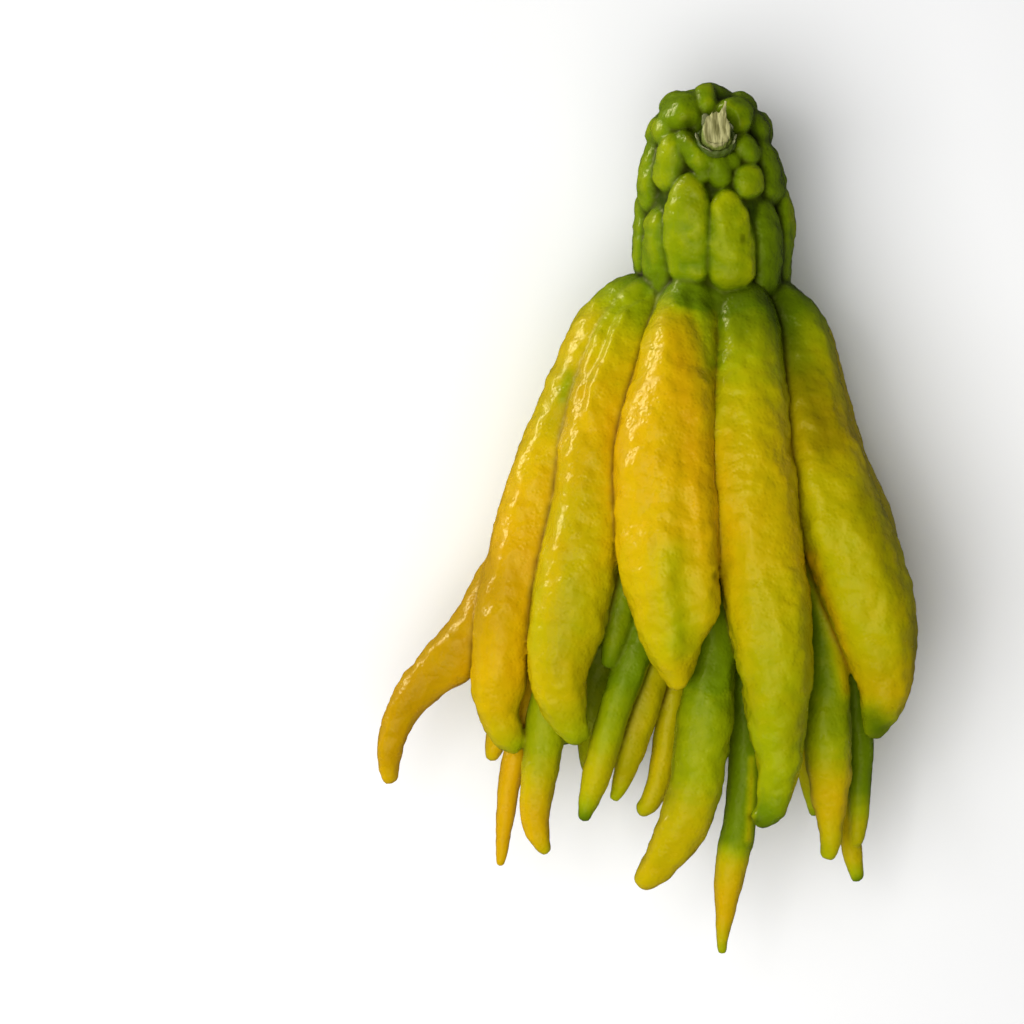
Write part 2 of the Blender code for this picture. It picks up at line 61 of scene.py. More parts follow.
# How the fingers are grown
RING_SIDES = 16
RINGS_PER_STATION = 2
RING_BULGE = {1: 1.032, 2: 1.06, 3: 1.032}   # step round a quarter ring: radius, which squares the ring
ROUNDING = 1.03          # makes up for what Subdivision Surface takes off a ring
SKIN_ALLOWANCE = 0.35    # and for what melting and softening take off, millimetres
THINNEST = 0.5           # least half width of a ring
LEAST_TURN = 1e-5        # a ring that turns less than this is left as it is, radians
STOUT_WIDTH = 11.0       # half width of a finger that carries the full relief
STOUT_POWER = 0.8        # how fast slimmer fingers lose it
LOBE_STOUTNESS = 1.0     # share of the relief that the knob's lobes carry

CREASE_WIDTH = 2.6       # width of skin that a crease is told from, millimetres
CREASE_DEPTH = 0.6       # how far a full crease lies under the skin around it
CREASE_ROUNDS = 4        # rounds of smoothing along the creases
LOBE_WIDTH = 6.8         # width of skin that the hollows between the knob's lobes are told from
SWELL_WIDTH = 16         # width of one broad swelling, millimetres
WRINKLE_SHARE = 0.8      # width of a wrinkle against that of a lump

# Where the upper skin, the knob and the well-seen skin begin, and the run over which each fades in:
# heights, and y for the knob, in millimetres.
UPPER_FROM, UPPER_RUN = 40, 10
KNOB_FROM, KNOB_RUN = 64, 6
SEEN_FROM, SEEN_RUN = 26, 10
SEEN_SPARED = 0.85       # how much less the well-seen skin is thinned

# The stalk's seat on the knob
STALK_BASE = Vector((19.6, 107.6, 65.6))
STALK_LEAN = math.radians(55)            # of the stalk above the horizontal
CUT_RISE = math.radians(35)              # how far the cut leans against the stalk
# The dimple round it: distance from the stalk's middle, and how high the skin may stand there.
DIMPLE = [(0, -0.2), (4.2, 0.0), (5.6, 1.1), (6.6, 2.6), (8.2, 6.0), (12.0, 14.0)]
DIMPLE_SOFTNESS = 0.7    # how roundly the dimple runs out into the lobes, millimetres

# Each finger is a list of stations from its root to its tip: x, y, z of the middle of the section,
# its half width and half depth, and its ripeness, from 0 for deep green to 1 for orange.
OUTER_FINGERS = {
    "front_gold": [
        (17, 67.5, 52, 4.5, 6, .14), (12.8, 63.5, 56, 7.5, 8, .2), (10.4, 55, 60.5, 9.2, 10, .6),
        (9.6, 48, 63, 10.4, 11, .73), (6.9, 33.5, 68, 12.2, 12, .8), (4.5, 19, 71, 13.8, 13, .82),
        (4.7, 5, 73, 14, 13, .8), (5.5, -9.5, 75, 14, 12.5, .75), (6.4, -23.5, 76, 12, 11.5, .7),
        (7, -35, 77, 8.8, 9, .64), (7.7, -43.5, 77, 5.2, 5.5, .66), (7.6, -49.8, 77, 1.7, 2, .68),
    ],
    "front_long": [
        (23.5, 68, 50, 4, 6, .13), (27, 63.5, 54, 6.5, 8, .16), (29, 55, 58, 8.6, 9.5, .3),
        (29.7, 48, 60.5, 9.3, 10.5, .44), (29, 33.5, 65, 10.4, 12, .58), (29.3, 19, 68, 11.3, 12.5, .69),
        (30.6, 5, 70, 11.7, 12.5, .71), (31.9, -9.5, 71, 11.8, 12.5, .71), (34.2, -23.5, 72, 12, 12.5, .63),
        (36, -38, 72, 10.9, 11.5, .56), (36.7, -52.5, 71, 9.1, 10, .51), (37.5, -66.5, 70, 6.6, 7.5, .47),
        (37, -78, 69, 5.2, 5.5, .44), (34.5, -84.5, 68, 3.7, 4, .28), (30.2, -87.3, 68, 1.7, 2, .16),
    ],
    "right": [
        (33, 66.5, 46, 3.5, 6, .15), (39, 62.3, 48, 5.6, 7, .2), (43.4, 55.5, 49.5, 7.4, 8, .36),
        (45.6, 48, 51, 8.4, 9, .5), (47.6, 33.5, 54, 9.2, 10, .62), (50.2, 19.5, 57, 9.8, 11, .67),
        (54.5, 5, 60, 11.3, 12, .6), (59, -9.5, 60, 12.7, 12.5, .58), (64, -24, 60, 12.2, 12, .57),
        (67.4, -38.5, 59, 10.1, 10.5, .6), (68.5, -50, 58, 6.9, 8, .7), (66.7, -58, 57, 4.9, 5.5, .4),
        (64, -63.3, 56, 2, 2.5, .38),
    ],
    "left": [
        (4, 66.5, 46, 3.5, 6, .2), (-2.8, 63, 49, 4.8, 7.5, .35), (-6.5, 55.5, 52.5, 7.1, 8.5, .45),
        (-9.1, 48, 55.5, 8.1, 9, .62), (-13.3, 33.5, 59.5, 8.7, 10, .77), (-16.4, 19.5, 61.8, 8.8, 10, .78),
        (-17.3, 5, 64, 9.2, 10.5, .71), (-19, -9.5, 65, 10.8, 11.5, .66),
        (-22, -24, 66, 10.9, 11.5, .6), (-25, -38, 66, 9.2, 10, .63), (-25.6, -46.5, 66, 7.7, 8.5, .66),
        (-24.3, -54, 65, 6.3, 7, .6), (-21.5, -60.5, 65, 4.3, 4.5, .5), (-18.5, -65, 64, 1.7, 2, .36),
    ],
    "far_left": [
        (-1, 66, 44, 3.5, 6, .2), (-6.6, 62.5, 47, 6, 7.5, .28), (-11.8, 55.5, 49, 7.2, 8.5, .56),
        (-15.8, 48.5, 50.5, 7.8, 9.5, .7), (-22.2, 34, 51.5, 8.1, 9.8, .67),
        (-28.4, 19.5, 52.5, 8.1, 10, .74), (-32.8, 5, 53, 8.1, 10.5, .83),
        (-36.5, -9.5, 54, 8.4, 11, .87), (-40, -24, 55, 8.4, 10.5, .87),
        (-42, -38.5, 56, 7.8, 9, .85), (-43.2, -50, 56, 7.2, 7.5, .8), (-42.4, -58, 55, 5.2, 5.5, .72),
        (-39.2, -64, 54, 3.8, 4, .58), (-36, -66.8, 54, 1.7, 2, .42),
    ],
    "left_branch": [
        (-29.5, 13.5, 40, 6, 8, .86), (-36, -7, 43, 7, 9, .86), (-42, -21, 45, 8.1, 9, .88),
        (-48.8, -33, 46, 8.4, 9, .9), (-57, -41.5, 46, 7.6, 8, .9), (-64, -48, 45, 6.1, 6.5, .9),
        (-69.8, -55, 44, 5, 5.5, .9), (-73.3, -63, 43, 3.8, 4.2, .9), (-75, -71.5, 42, 2.9, 3.2, .86),
        (-73.8, -78, 42, 1.5, 1.8, .8),
    ],
    "right_behind": [
        (33, 66, 36, 3.5, 7, .3), (43, 57.5, 38, 6.6, 9, .45), (48.6, 49, 40, 6.8, 9, .6),
        (52, 34, 41, 6.6, 10, .66), (55.8, 19.5, 42, 7.3, 10.5, .66), (61.2, 5, 43, 7.6, 11, .62),
        (65.6, -9.5, 43, 7.9, 11, .62), (69.4, -24, 43, 8.2, 10, .62), (71, -36, 43, 6.4, 8, .6),
        (70.2, -47.5, 42, 4.1, 5, .5), (68.4, -55, 42, 1.7, 2, .4),
    ],
    "back_left": [
        (7, 66, 38, 4, 6, .2), (-3, 58, 36, 6.5, 8, .35), (-10.5, 48, 34, 7.5, 9, .55),
        (-19.5, 33, 31, 8.5, 10, .62), (-26, 18, 28, 9.2, 11, .66), (-30.5, 3, 27, 9.6, 11, .7),
        (-34.5, -12, 27, 9.8, 10.5, .7), (-37.5, -27, 28, 9.3, 9.5, .7), (-40, -39, 29, 7.5, 8, .66),
        (-40.5, -48, 30, 4.5, 5.5, .6), (-40, -54, 31, 2, 2, .5),
    ],
    "back_left_rail": [
        (10, 64, 32, 5, 7, .2), (3, 55, 27, 8, 9, .25), (-2, 46, 22, 10, 10.5, .35),
        (-7, 34, 17, 11.5, 12, .48), (-12, 20, 13.4, 12.5, 12.5, .55), (-15, 5, 11.9, 13, 12.6, .6),
        (-17, -10, 11.9, 13, 12.6, .6), (-19, -25, 12.2, 12.5, 12.4, .58), (-20.5, -38, 13, 11, 11.5, .55),
        (-21.5, -50, 15, 8.5, 9.5, .52), (-22.5, -60, 18, 5, 6, .45), (-23, -67.5, 20, 2, 2.5, .35),
    ],
    "back_middle": [
        (16, 64, 30, 5, 7, .2), (14, 55, 24, 8, 9, .25), (12, 46, 20, 9.5, 10, .38),
        (11, 34, 16.5, 10.5, 11, .5), (10.3, 20, 14.5, 11.3, 11.5, .58), (10, 5, 13.6, 11.7, 11.8, .62),
        (10, -10, 13.6, 11.7, 11.6, .62), (10, -25, 14.2, 11, 11, .6), (9.6, -40, 15.5, 9.5, 10, .58),
        (9.2, -52, 17, 7, 7.5, .52), (9, -60, 18.5, 4, 4.5, .45), (9, -65, 19.5, 1.5, 1.5, .35),
    ],
    "back_right_rail": [
        (22, 64, 31, 5, 7, .18), (25, 55, 26, 8, 9, .22), (28, 46, 21.5, 10, 10.5, .3),
        (31, 34, 17, 11.5, 12, .4), (34, 20, 13.4, 12.5, 12.5, .5), (36.5, 5, 11.9, 13, 12.6, .55),
        (38.5, -10, 11.9, 13, 12.6, .58), (40, -25, 12.2, 12.5, 12.4, .6),
        (41.5, -38, 13.2, 11, 11.8, .62), (42, -50, 15.5, 8, 9, .6), (42, -59, 18, 4.5, 5.5, .5),
        (41.5, -64, 20, 2, 2.5, .4),
    ],
    "back_right": [
        (28, 66, 36, 4, 6, .2), (35.5, 57, 32, 6.6, 8.5, .3), (41, 47, 29, 7.6, 9.5, .4),
        (46.5, 33, 27, 8.3, 10, .5), (51, 19, 26, 9.5, 11, .55), (55, 5, 26, 10.5, 11.5, .58),
        (58.5, -10, 26, 11, 11.5, .6), (61, -25, 27, 10.5, 10.5, .6), (62, -38, 28, 8.5, 9, .62),
        (61.5, -50, 30, 5.5, 6, .55), (60, -57, 31, 2, 2, .4),
    ],
}

# Fingers that reach under a neighbour: how far towards -X and +X, and the y where they draw back.
TUCKS = {
    "front_long": (1.6, 0, -10), "right": (2.8, 0, -2), "left": (0, 2.7, -8), "far_left": (0, 2.6, -24),
    "right_behind": (2.4, 0, -20), "back_left": (0, 2.5, -24), "back_right": (2.5, 0, -24),
    "back_middle": (1.6, 1.6, -30),
}
TUCK_RUN = 12            # length over which a finger draws back from under its neighbour

INNER_FINGERS = {
    "short_green": [
        (-2, -1, 56, 3, 4, .25), (-4.8, -15, 60, 3.8, 4.5, .33), (-7.7, -27, 61, 3.8, 4, .34),
        (-10, -37, 61, 2.9, 3.5, .35), (-11.4, -43.6, 61, 1.4, 2, .3),
    ],
    "slim_green": [
        (4, -1, 52, 3.5, 5, .2), (.5, -21, 56, 4.6, 5.5, .24), (-2.4, -35.5, 58, 4.9, 5.5, .26),
        (-6.2, -47, 59, 4.6, 5, .3), (-10.2, -59, 59, 4.1, 4.5, .42), (-14, -73.3, 58, 3.8, 4, .6),
        (-17, -82, 57, 2.6, 3, .5), (-18.3, -88, 57, 1.2, 1.3, .2),
    ],
    "slim_olive": [
        (8, -12.5, 44, 4.1, 5, .5), (4.8, -33, 48, 4.7, 5.5, .55), (1.2, -47.5, 51, 4.7, 5, .6),
        (-2.3, -59, 52, 4.4, 4.5, .62), (-5, -69, 52, 3.5, 4, .6), (-7.5, -78, 51, 2.3, 2.5, .55),
        (-9.8, -82.5, 51, 1.2, 1.3, .45),
    ],
    "slim_hooked": [
        (13, -18.5, 40, 3.5, 5, .5), (10.2, -39, 43, 3.8, 5, .55), (7.2, -56.5, 45, 3.5, 4.5, .6),
        (5.7, -68, 45, 3.2, 4, .64), (3.7, -78, 45, 3.2, 3.5, .64), (.5, -84, 45, 2.6, 3, .6),
        (-2.7, -85.5, 45, 1.5, 1.8, .5),
    ],
    "large_green": [
        (22, -1, 52, 5.2, 7, .2), (20.3, -24, 59, 6.2, 8, .22), (18.2, -44.3, 61, 6.9, 8, .26),
        (16.4, -58.7, 61, 7.8, 8.5, .41), (14.9, -73, 60, 7.5, 8, .42), (11.5, -86, 58, 7.2, 7.5, .63),
        (6.3, -96.5, 56, 5.8, 6, .68), (1, -103.5, 54, 3.8, 4, .7), (-2.3, -106.5, 53, 1.7, 2, .66),
    ],
    "longest": [
        (28.4, -12.5, 42, 3.8, 5, .14), (28.8, -39, 47, 4.4, 5.5, .18), (28.4, -59, 49, 4.4, 5, .24),
        (28.6, -76.5, 49, 4.4, 4.5, .28), (27, -89.5, 49, 4.4, 4.5, .29), (26.2, -94.5, 48.6, 4.4, 4.3, .36),
        (25.2, -99.5, 48, 4.3, 4, .62),
        (24, -107, 48, 3.5, 3.5, .76), (23, -116, 47, 2.3, 2.5, .8), (22.3, -122.5, 47, 1.3, 1.6, .6),
        (22, -127, 47, .9, 1, .42),
    ],
    "right_hooked": [
        (45, -1, 46, 4.7, 6, .2), (49, -21, 51, 5.2, 6.5, .22), (51.4, -35.7, 53, 5.5, 6.5, .27),
        (52.6, -50, 54, 5.8, 6, .33), (52.4, -64.7, 54, 6.7, 6.5, .42), (52.8, -76.3, 53, 5.8, 5.5, .68),
        (53.4, -85, 52, 4.1, 4, .72), (53.5, -94, 51, 2.6, 3, .6), (52.1, -99.7, 51, 1.5, 1.8, .5),
    ],
    "right_green": [
        (54, -12.5, 38, 4.1, 6, .2), (58.6, -33, 40, 4.4, 5.5, .2), (61, -50.5, 42, 4.1, 5, .24),
        (62.6, -65, 42, 3.5, 4, .27), (62.4, -79.5, 42, 2.9, 3.5, .32), (62, -90, 41, 2.3, 2.5, .58),
        (61.2, -96.6, 41, 1.2, 1.3, .55),
    ],
    "right_gold": [
        (52, -36, 34, 3.5, 5, .6), (56, -59.5, 36, 3.5, 4.5, .66), (58.8, -77, 38, 3.2, 4, .7),
        (59.6, -91.5, 38, 2.9, 3.5, .7), (60.8, -100.3, 38, 2.3, 2.5, .62),
        (62.3, -106.7, 38, 1.2, 1.3, .25),
    ],
    "right_sliver": [
        (42.5, -36, 36, 3.5, 5, .65), (44.7, -56.4, 38, 3.2, 4, .62), (46.4, -71, 40, 2.6, 3, .6),
        (48.3, -81, 41, 1.8, 2, .5), (49.5, -87.5, 41, .9, 1, .35),
    ],
    "left_green_gold": [
        (-16, -12.5, 46, 4.7, 6, .28), (-23.2, -35.7, 50, 5.2, 6, .32), (-27.9, -53, 53, 5.5, 6, .4),
        (-29.9, -67.6, 53, 5.2, 5.5, .48), (-31.9, -79.2, 53, 4.6, 5, .7), (-32.2, -88, 52, 3.8, 4, .84),
        (-30.5, -94.3, 52, 2.6, 3, .76), (-28.2, -97.5, 52, 1.2, 1.3, .55),
    ],
    "left_thin_gold": [
        (-25, -24, 40, 4.1, 5, .8), (-32.2, -47.5, 42, 3.8, 4.5, .84), (-37.4, -66.4, 44, 3.2, 4, .86),
        (-40, -79.5, 44, 2.9, 3.5, .88), (-41.2, -91, 44, 2, 2.5, .88), (-42, -98.4, 44, 1.5, 1.5, .86),
        (-42.4, -102, 44, .7, .8, .8),
    ],
    "left_olive": [
        (-25, -12.5, 36, 4.1, 6, .5), (-29.3, -36, 40, 4.1, 5.5, .52), (-33, -50.5, 42, 3.5, 4.5, .55),
        (-34.5, -57.7, 42, 2.6, 3, .52), (-34.8, -61.5, 42, 1.2, 1.3, .4),
    ],
    "left_amber": [
        (-33.6, -36, 36, 4.7, 6, .78), (-39.5, -53.5, 38, 4.1, 5, .8), (-43.3, -65.2, 38, 2.9, 3.5, .8),
        (-45.3, -71.6, 38, 1.2, 1.3, .7),
    ],
    "under_left": [
        (-24, -20, 30, 6, 6, .35), (-28, -45, 31, 6, 6, .45), (-30, -62, 32, 4.5, 4.5, .55),
        (-31, -74, 33, 2.5, 3, .6), (-31, -79, 33, 1, 1.2, .55),
    ],
    "under_mid_left": [
        (-10, -15, 34, 5, 6, .3), (-13, -40, 33, 6, 6, .35), (-15, -60, 32, 5, 5, .42),
        (-15, -74, 32, 3, 3.5, .5), (-15, -80, 32, 1, 1.3, .45),
    ],
    "under_middle": [
        (14, -20, 28, 6, 6, .25), (13, -45, 27, 6.5, 6, .3), (12, -65, 28, 5.5, 5, .4),
        (11, -78, 30, 3.5, 3.5, .55), (10, -86, 31, 1, 1.3, .5),
    ],
    "under_mid_right": [
        (34, -20, 30, 6, 6, .3), (36, -45, 30, 6, 6, .35), (36, -65, 31, 5, 5, .42),
        (35, -76, 32, 3, 3, .55), (34, -81, 33, 1, 1.2, .5),
    ],
    "under_right": [
        (50, -15, 30, 6, 6, .3), (52, -45, 30, 5.5, 5.5, .38), (53, -65, 31, 4.5, 4.5, .5),
        (53, -77, 32, 2.5, 3, .6), (53, -82, 33, 1, 1.2, .5),
    ],
}

HEART = [
    (19.7, 76, 44, 14, 14, .2), (19.5, 66, 44, 18, 18, .2), (18, 52, 43, 25, 22, .3),
    (16.5, 36, 43, 31, 25, .4), (15, 18, 43, 36, 27, .45), (14, 2, 42, 38, 27, .45),
    (14, -10, 40, 34, 23, .4), (14, -18, 38, 24, 15, .3), (14, -23, 36, 8, 5, .25),
]

# The knob's form along its length: y, x of the middle, radius, z of the middle.
KNOB_FORM = [
    (60, 19.9, 17.5, 44), (68, 19.8, 19.6, 44.3), (80.5, 19.8, 21, 45.5), (89, 19.2, 20.9, 47),
    (95, 19, 19.6, 48.4), (101, 18.7, 18.4, 49.7), (106.5, 18.3, 17, 51), (112.5, 18.5, 15.6, 52),
    (116, 18.3, 13.8, 53), (119, 18, 11.4, 53.5), (123, 17.2, 7, 54), (125, 16.5, 3, 54),
]
# Knob lobes: angle round the knob (0 right, 90 up, 270 down), y of the middle, half length, half width,
# how far the lobe is turned from the knob's own run (degrees, its upper end towards the left), how much
# its upper end narrows, and its ripeness.
KNOB_LOBES = [
    # the ring of long ribs
    (9, 80, 16.5, 6, 0, .2, .27), (39, 77, 15, 6.5, 4, .1, .18), (78, 79.5, 15, 7.5, 4, .45, .36),
    (115, 82, 17, 7.4, -2, .15, .33), (149, 76, 14.5, 6.7, -4, .15, .29), (181, 80, 16, 6.2, 0, .2, .29),
    (209, 80, 14, 6.2, 0, .1, .3), (237, 79, 14.5, 6.2, 3, .1, .32), (266, 81, 14.5, 6.3, 0, .2, .3),
    (295, 79, 14, 6.3, -3, .1, .31), (322, 80, 14, 6.2, 0, 0, .29), (346, 80, 16, 5.6, 0, .2, .24),
    # the broken ring above them
    (169, 99.5, 12, 5.6, 3, .1, .28), (137, 102, 9.2, 5.6, -8, 0, .31), (110, 104.8, 7.6, 3.9, 42, 0, .2),
    (84, 99, 4.9, 3.6, 0, 0, .16), (100, 98.5, 2.8, 2.6, 0, 0, .2), (55, 96.4, 5.6, 5.2, 0, 0, .28),
    (49, 105.4, 5.2, 4.4, 28, 0, .2), (70, 102, 2.8, 2.8, 0, 0, .17), (21, 101, 12, 6.2, -4, .1, .18),
    (354, 99.5, 11, 5.8, 0, 0, .21), (326, 99.5, 8, 5.8, 10, 0, .26), (298, 100, 8, 6, 0, .2, .29),
    (270, 101, 8, 5.8, -12, 0, .28), (243, 99.5, 8, 6, 0, .1, .3), (217, 101, 8.4, 5.8, 14, 0, .28),
    (192, 99.5, 8.4, 5.4, 0, .1, .3),
    # the crown round the stalk
    (153, 111, 4.8, 5.4, 20, 0, .29), (141, 116.4, 6.4, 6.6, 20, 0, .2), (97, 120.2, 5, 3.2, 0, 0, .22),
    (53, 115.4, 5.8, 6.2, 0, 0, .19), (21, 112.4, 5.6, 5.2, 8, 0, .16), (352, 112, 6.4, 5.6, 0, 0, .2),
    (322, 112, 6.4, 6, 0, 0, .24), (290, 111.5, 6.4, 6.2, 10, 0, .26), (258, 113, 6.4, 6.2, 0, 0, .26),
    (226, 111.5, 6.4, 6.2, -10, 0, .26), (197, 112, 6.4, 5.8, 0, 0, .28), (174, 111, 5.4, 5, 0, 0, .28),
    (190, 118.6, 5, 5.4, 0, 0, .26), (15, 118, 5, 5, 0, 0, .19), (285, 119, 5.2, 6.6, 0, 0, .24),
    (235, 119, 5.2, 6.4, 0, 0, .24),
]
LOBE_RISE = 5.2          # half depth of a lobe
LOBE_SINK = 2.6          # how far a lobe's middle lies under the knob's form
CORE_SINK = 2.2          # how far the knob's core lies under its form, which ends the creases
CORE_RIPENESS = 0.12
KNOB_SHADE_GREENING = 0.1      # ripeness lost for each millimetre of hollow between the lobes: painted shade, greener and darker
KNOB_CREST, KNOB_HOLLOW = -1.5, 3.0   # the highest crest and the deepest hollow that this counts; the crests gain ripeness, painted light
KNOB_HOLLOW_SHADE = 0.6          # painted shade in the hollows: how much darker the skin is for each millimetre
DARKEST_HOLLOW_SHADE = 0.8            # and how dark that painted shade is at most
LOBE_SQUARENESS = 0.14   # how far a lobe is drawn towards a box, which narrows the creases

# The calyx button in the stalk's own frame: radius and height of each ring, from underneath to the middle.
CALYX_RINGS = [
    (3.8, -1.8), (5.2, -1.1), (5.9, 0.2), (5.8, 1.5), (5.2, 2.1), (4.6, 1.7), (4.2, 1.0), (2.0, 0.9),
]
# The dried sepals on its rim: angle round the stalk (0 right, 90 towards the knob's end), half width,
# half height, how far the sepal leans outwards in degrees.
SEPALS = [
    (122, 1.5, 3.0, 22), (181, 1.3, 1.4, 28), (236, 1.9, 1.3, 34), (346, 1.7, 1.7, 18), (40, 1.3, 1.2, 30),
]
SEPAL_THICKNESS = 0.3    # half of it, millimetres
RIM_RADIUS, RIM_HEIGHT = 5.3, 1.6     # where the sepals stand
DRY_FROM, DRY_RUN = 1.9, 1.6          # height over which the calyx dries out
DRIEST = 0.8             # how dry it is at most
# The cut stalk: radius and height of each ring, the last one at the middle of the cut.
STALK_RINGS = [(4.5, -1.0), (4.3, 0.6), (4.3, 2.4), (4.3, 4.4), (3.8, 6.3)]
BARK_FROM, BARK_RUN = 3.0, 0.5        # distance from the middle at which the wood turns to bark
BARK_TOP_RUN = 0.7       # how far under the cut the bark starts in full
# Splinters that stand over the cut: x and y of the foot and the tip, height of both, half width.
SPLINTERS = [
    ((1.5, 2.9), (2.4, 4.0), 5.0, 13.4, 1.8), ((-1.0, 3.0), (-1.3, 3.3), 5.4, 9.4, 1.4),
    ((-2.6, 2.0), (-3.1, 2.4), 4.6, 7.9, 1.1), ((3.3, 1.4), (3.6, 1.7), 4.4, 7.4, .9),
    ((-3.4, -.4), (-3.7, -.3), 3.2, 5.8, .7),
]

# Strokes over the upper skin: a path of (x, y), the stroke's half width, then how far it lifts the skin.
RIDGES = [
    ([(4.6, 52), (4, 33.5), (3.4, 13.5), (4.3, -6.5), (6.3, -23.7), (8.5, -38)], 5.5, .5),
    ([(8.9, -16.5), (10.9, -26.6), (12, -36.6), (12, -43)], 3.2, -.9),
    ([(13.5, 36), (15, 20), (16, 0), (16.6, -16), (16.6, -28)], 4, 2.3),
    ([(12, 64.4), (13.2, 58.6), (14.6, 52)], 1.8, -.7),
    ([(-.7, 64.3), (-7.3, 62), (-10.9, 55.9), (-12.7, 49.9), (-15.7, 43.3), (-18.1, 37.4), (-19.4, 32)],
     1.5, -1.3),
    ([(1.5, 65), (-5, 62), (-8.6, 55.9), (-10.4, 49.9), (-13.2, 43), (-15.4, 37), (-17, 31)], 2.2, .8),
    ([(45.5, 26), (47.3, 10), (50.5, -8)], 3.5, 1.3),
]
# The same kind of strokes over the colour: path, half width, then how far it moves the ripeness.
TINTS = [
    ([(10.5, 62.5), (15.5, 60.5), (17.5, 50), (18, 44)], 3.2, -.25),
    ([(6.9, 54), (10.3, 33.5), (13.4, 13.5), (15.2, -10)], 4, .06),
    ([(6.5, -11), (7.6, -24), (9.2, -36)], 4.5, -.13),
    ([(21.2, 22), (22.9, -12), (26.3, -35), (28.6, -52)], 3, .06),
    ([(45.8, -12), (49.8, -23.7), (55, -38), (57.8, -49.5)], 2.5, .3),
    ([(-10.3, 27.8), (-10.3, 5), (-12, -12.3)], 2.5, .06),
    ([(-26, -8), (-29, -28)], 3, .08), ([(-22.6, 41), (-24.4, 34)], 1.8, -.2),
    ([(30.4, -70), (29.6, -93)], 1.2, .26),
    ([(64.9, -56.6), (66.3, -61)], 3, -.08), ([(16, 38), (17, 25)], 3, -.08),
    ([(37, 62), (41, 53), (43, 44)], 5, -.1),
]
# And strokes of painted shade, the last small ones dark spots on the skin: path, half width, then how dark
# it is from 0 to 1.
SHADE_AND_SPOT_STROKES = [
    ([(9.5, 57), (10.5, 48), (12, 38)], 5, .22),
    ([(38, 57), (44, 44), (48, 33), (51, 23)], 7, .75),
    ([(26, 63), (28, 53)], 7, .55),
    ([(61, 5), (69, -12), (75, -30), (77, -45)], 4, .5),
    ([(-46, -20), (-57, -38), (-70, -52), (-76, -70)], 9, .4),
    ([(-21, 40), (-26, 28)], 5, .3),
    ([(66, -57), (66, -63)], 4.5, .6), ([(0, -50), (-6, -74)], 4, .35), ([(9, 63), (16, 61)], 3.5, .1),
    ([(-18, 20), (-21.5, -5), (-27, -42)], 5, .22), ([(65, -46), (66, -62)], 7, .25),
    ([(42, 60), (44, 50)], 5, .5), ([(-9, -28), (-11, -42)], 4, .35),
    ([(45.5, -25), (45.5, -45), (41, -64)], 3.5, .3), ([(11.5, 99), (12.5, 90)], 3.5, .35),
    ([(9, -60), (3, -100)], 5, .12), ([(-30, -60), (-31, -84)], 5, .12),
    ([(30, -86.8), (30.7, -87)], 1, 1), ([(27.1, 79), (27.2, 80.4)], .8, .9),
    ([(18.6, -16.2), (18.6, -17)], .7, 1), ([(11.7, 113), (12.4, 109)], 2, 1),
    ([(25.6, 113.5), (26, 110)], 1.7, .9),
]

# The lights: place, width and height in metres, and whether the waxy skin mirrors them.
LIGHTS = {
    "key": ((-0.45, -0.15, 1.15), 1.0, 1.0, False),
    "front": ((0.0, -0.45, 1.6), 1.4, 1.4, False),
    "window": ((-1.1, 0.75, 0.14), 0.8, 0.22, True),
    "spark": ((-0.35, 0.15, 1.2), 0.12, 0.12, True),
}
LIGHT_AIM = Vector((0, 0, 0.04))     # the point that they face, in the middle of the fruit
CAMERA_POINT = (-0.0389, 0.0023)     # the camera hangs straight over this point of the floor
SENSOR_WIDTH = 36.0                  # the camera's, millimetres

# How often each pattern in the materials comes round in a metre
BROAD_PATCHES, FINE_PATCHES, CRINKLES, GLAND_PATCHES = 45.0, 210.0, 300.0, 260.0
CALYX_PATCHES, FIBRES, PAPER_CLOUDS = 700.0, 1100.0, 3.0

# What all colours and all lengths among the settings have in common
COLOUR = {"subtype": "COLOR", "size": 3, "min": 0.0, "max": 1.0}
LENGTH = {"unit": "LENGTH", "precision": 5}


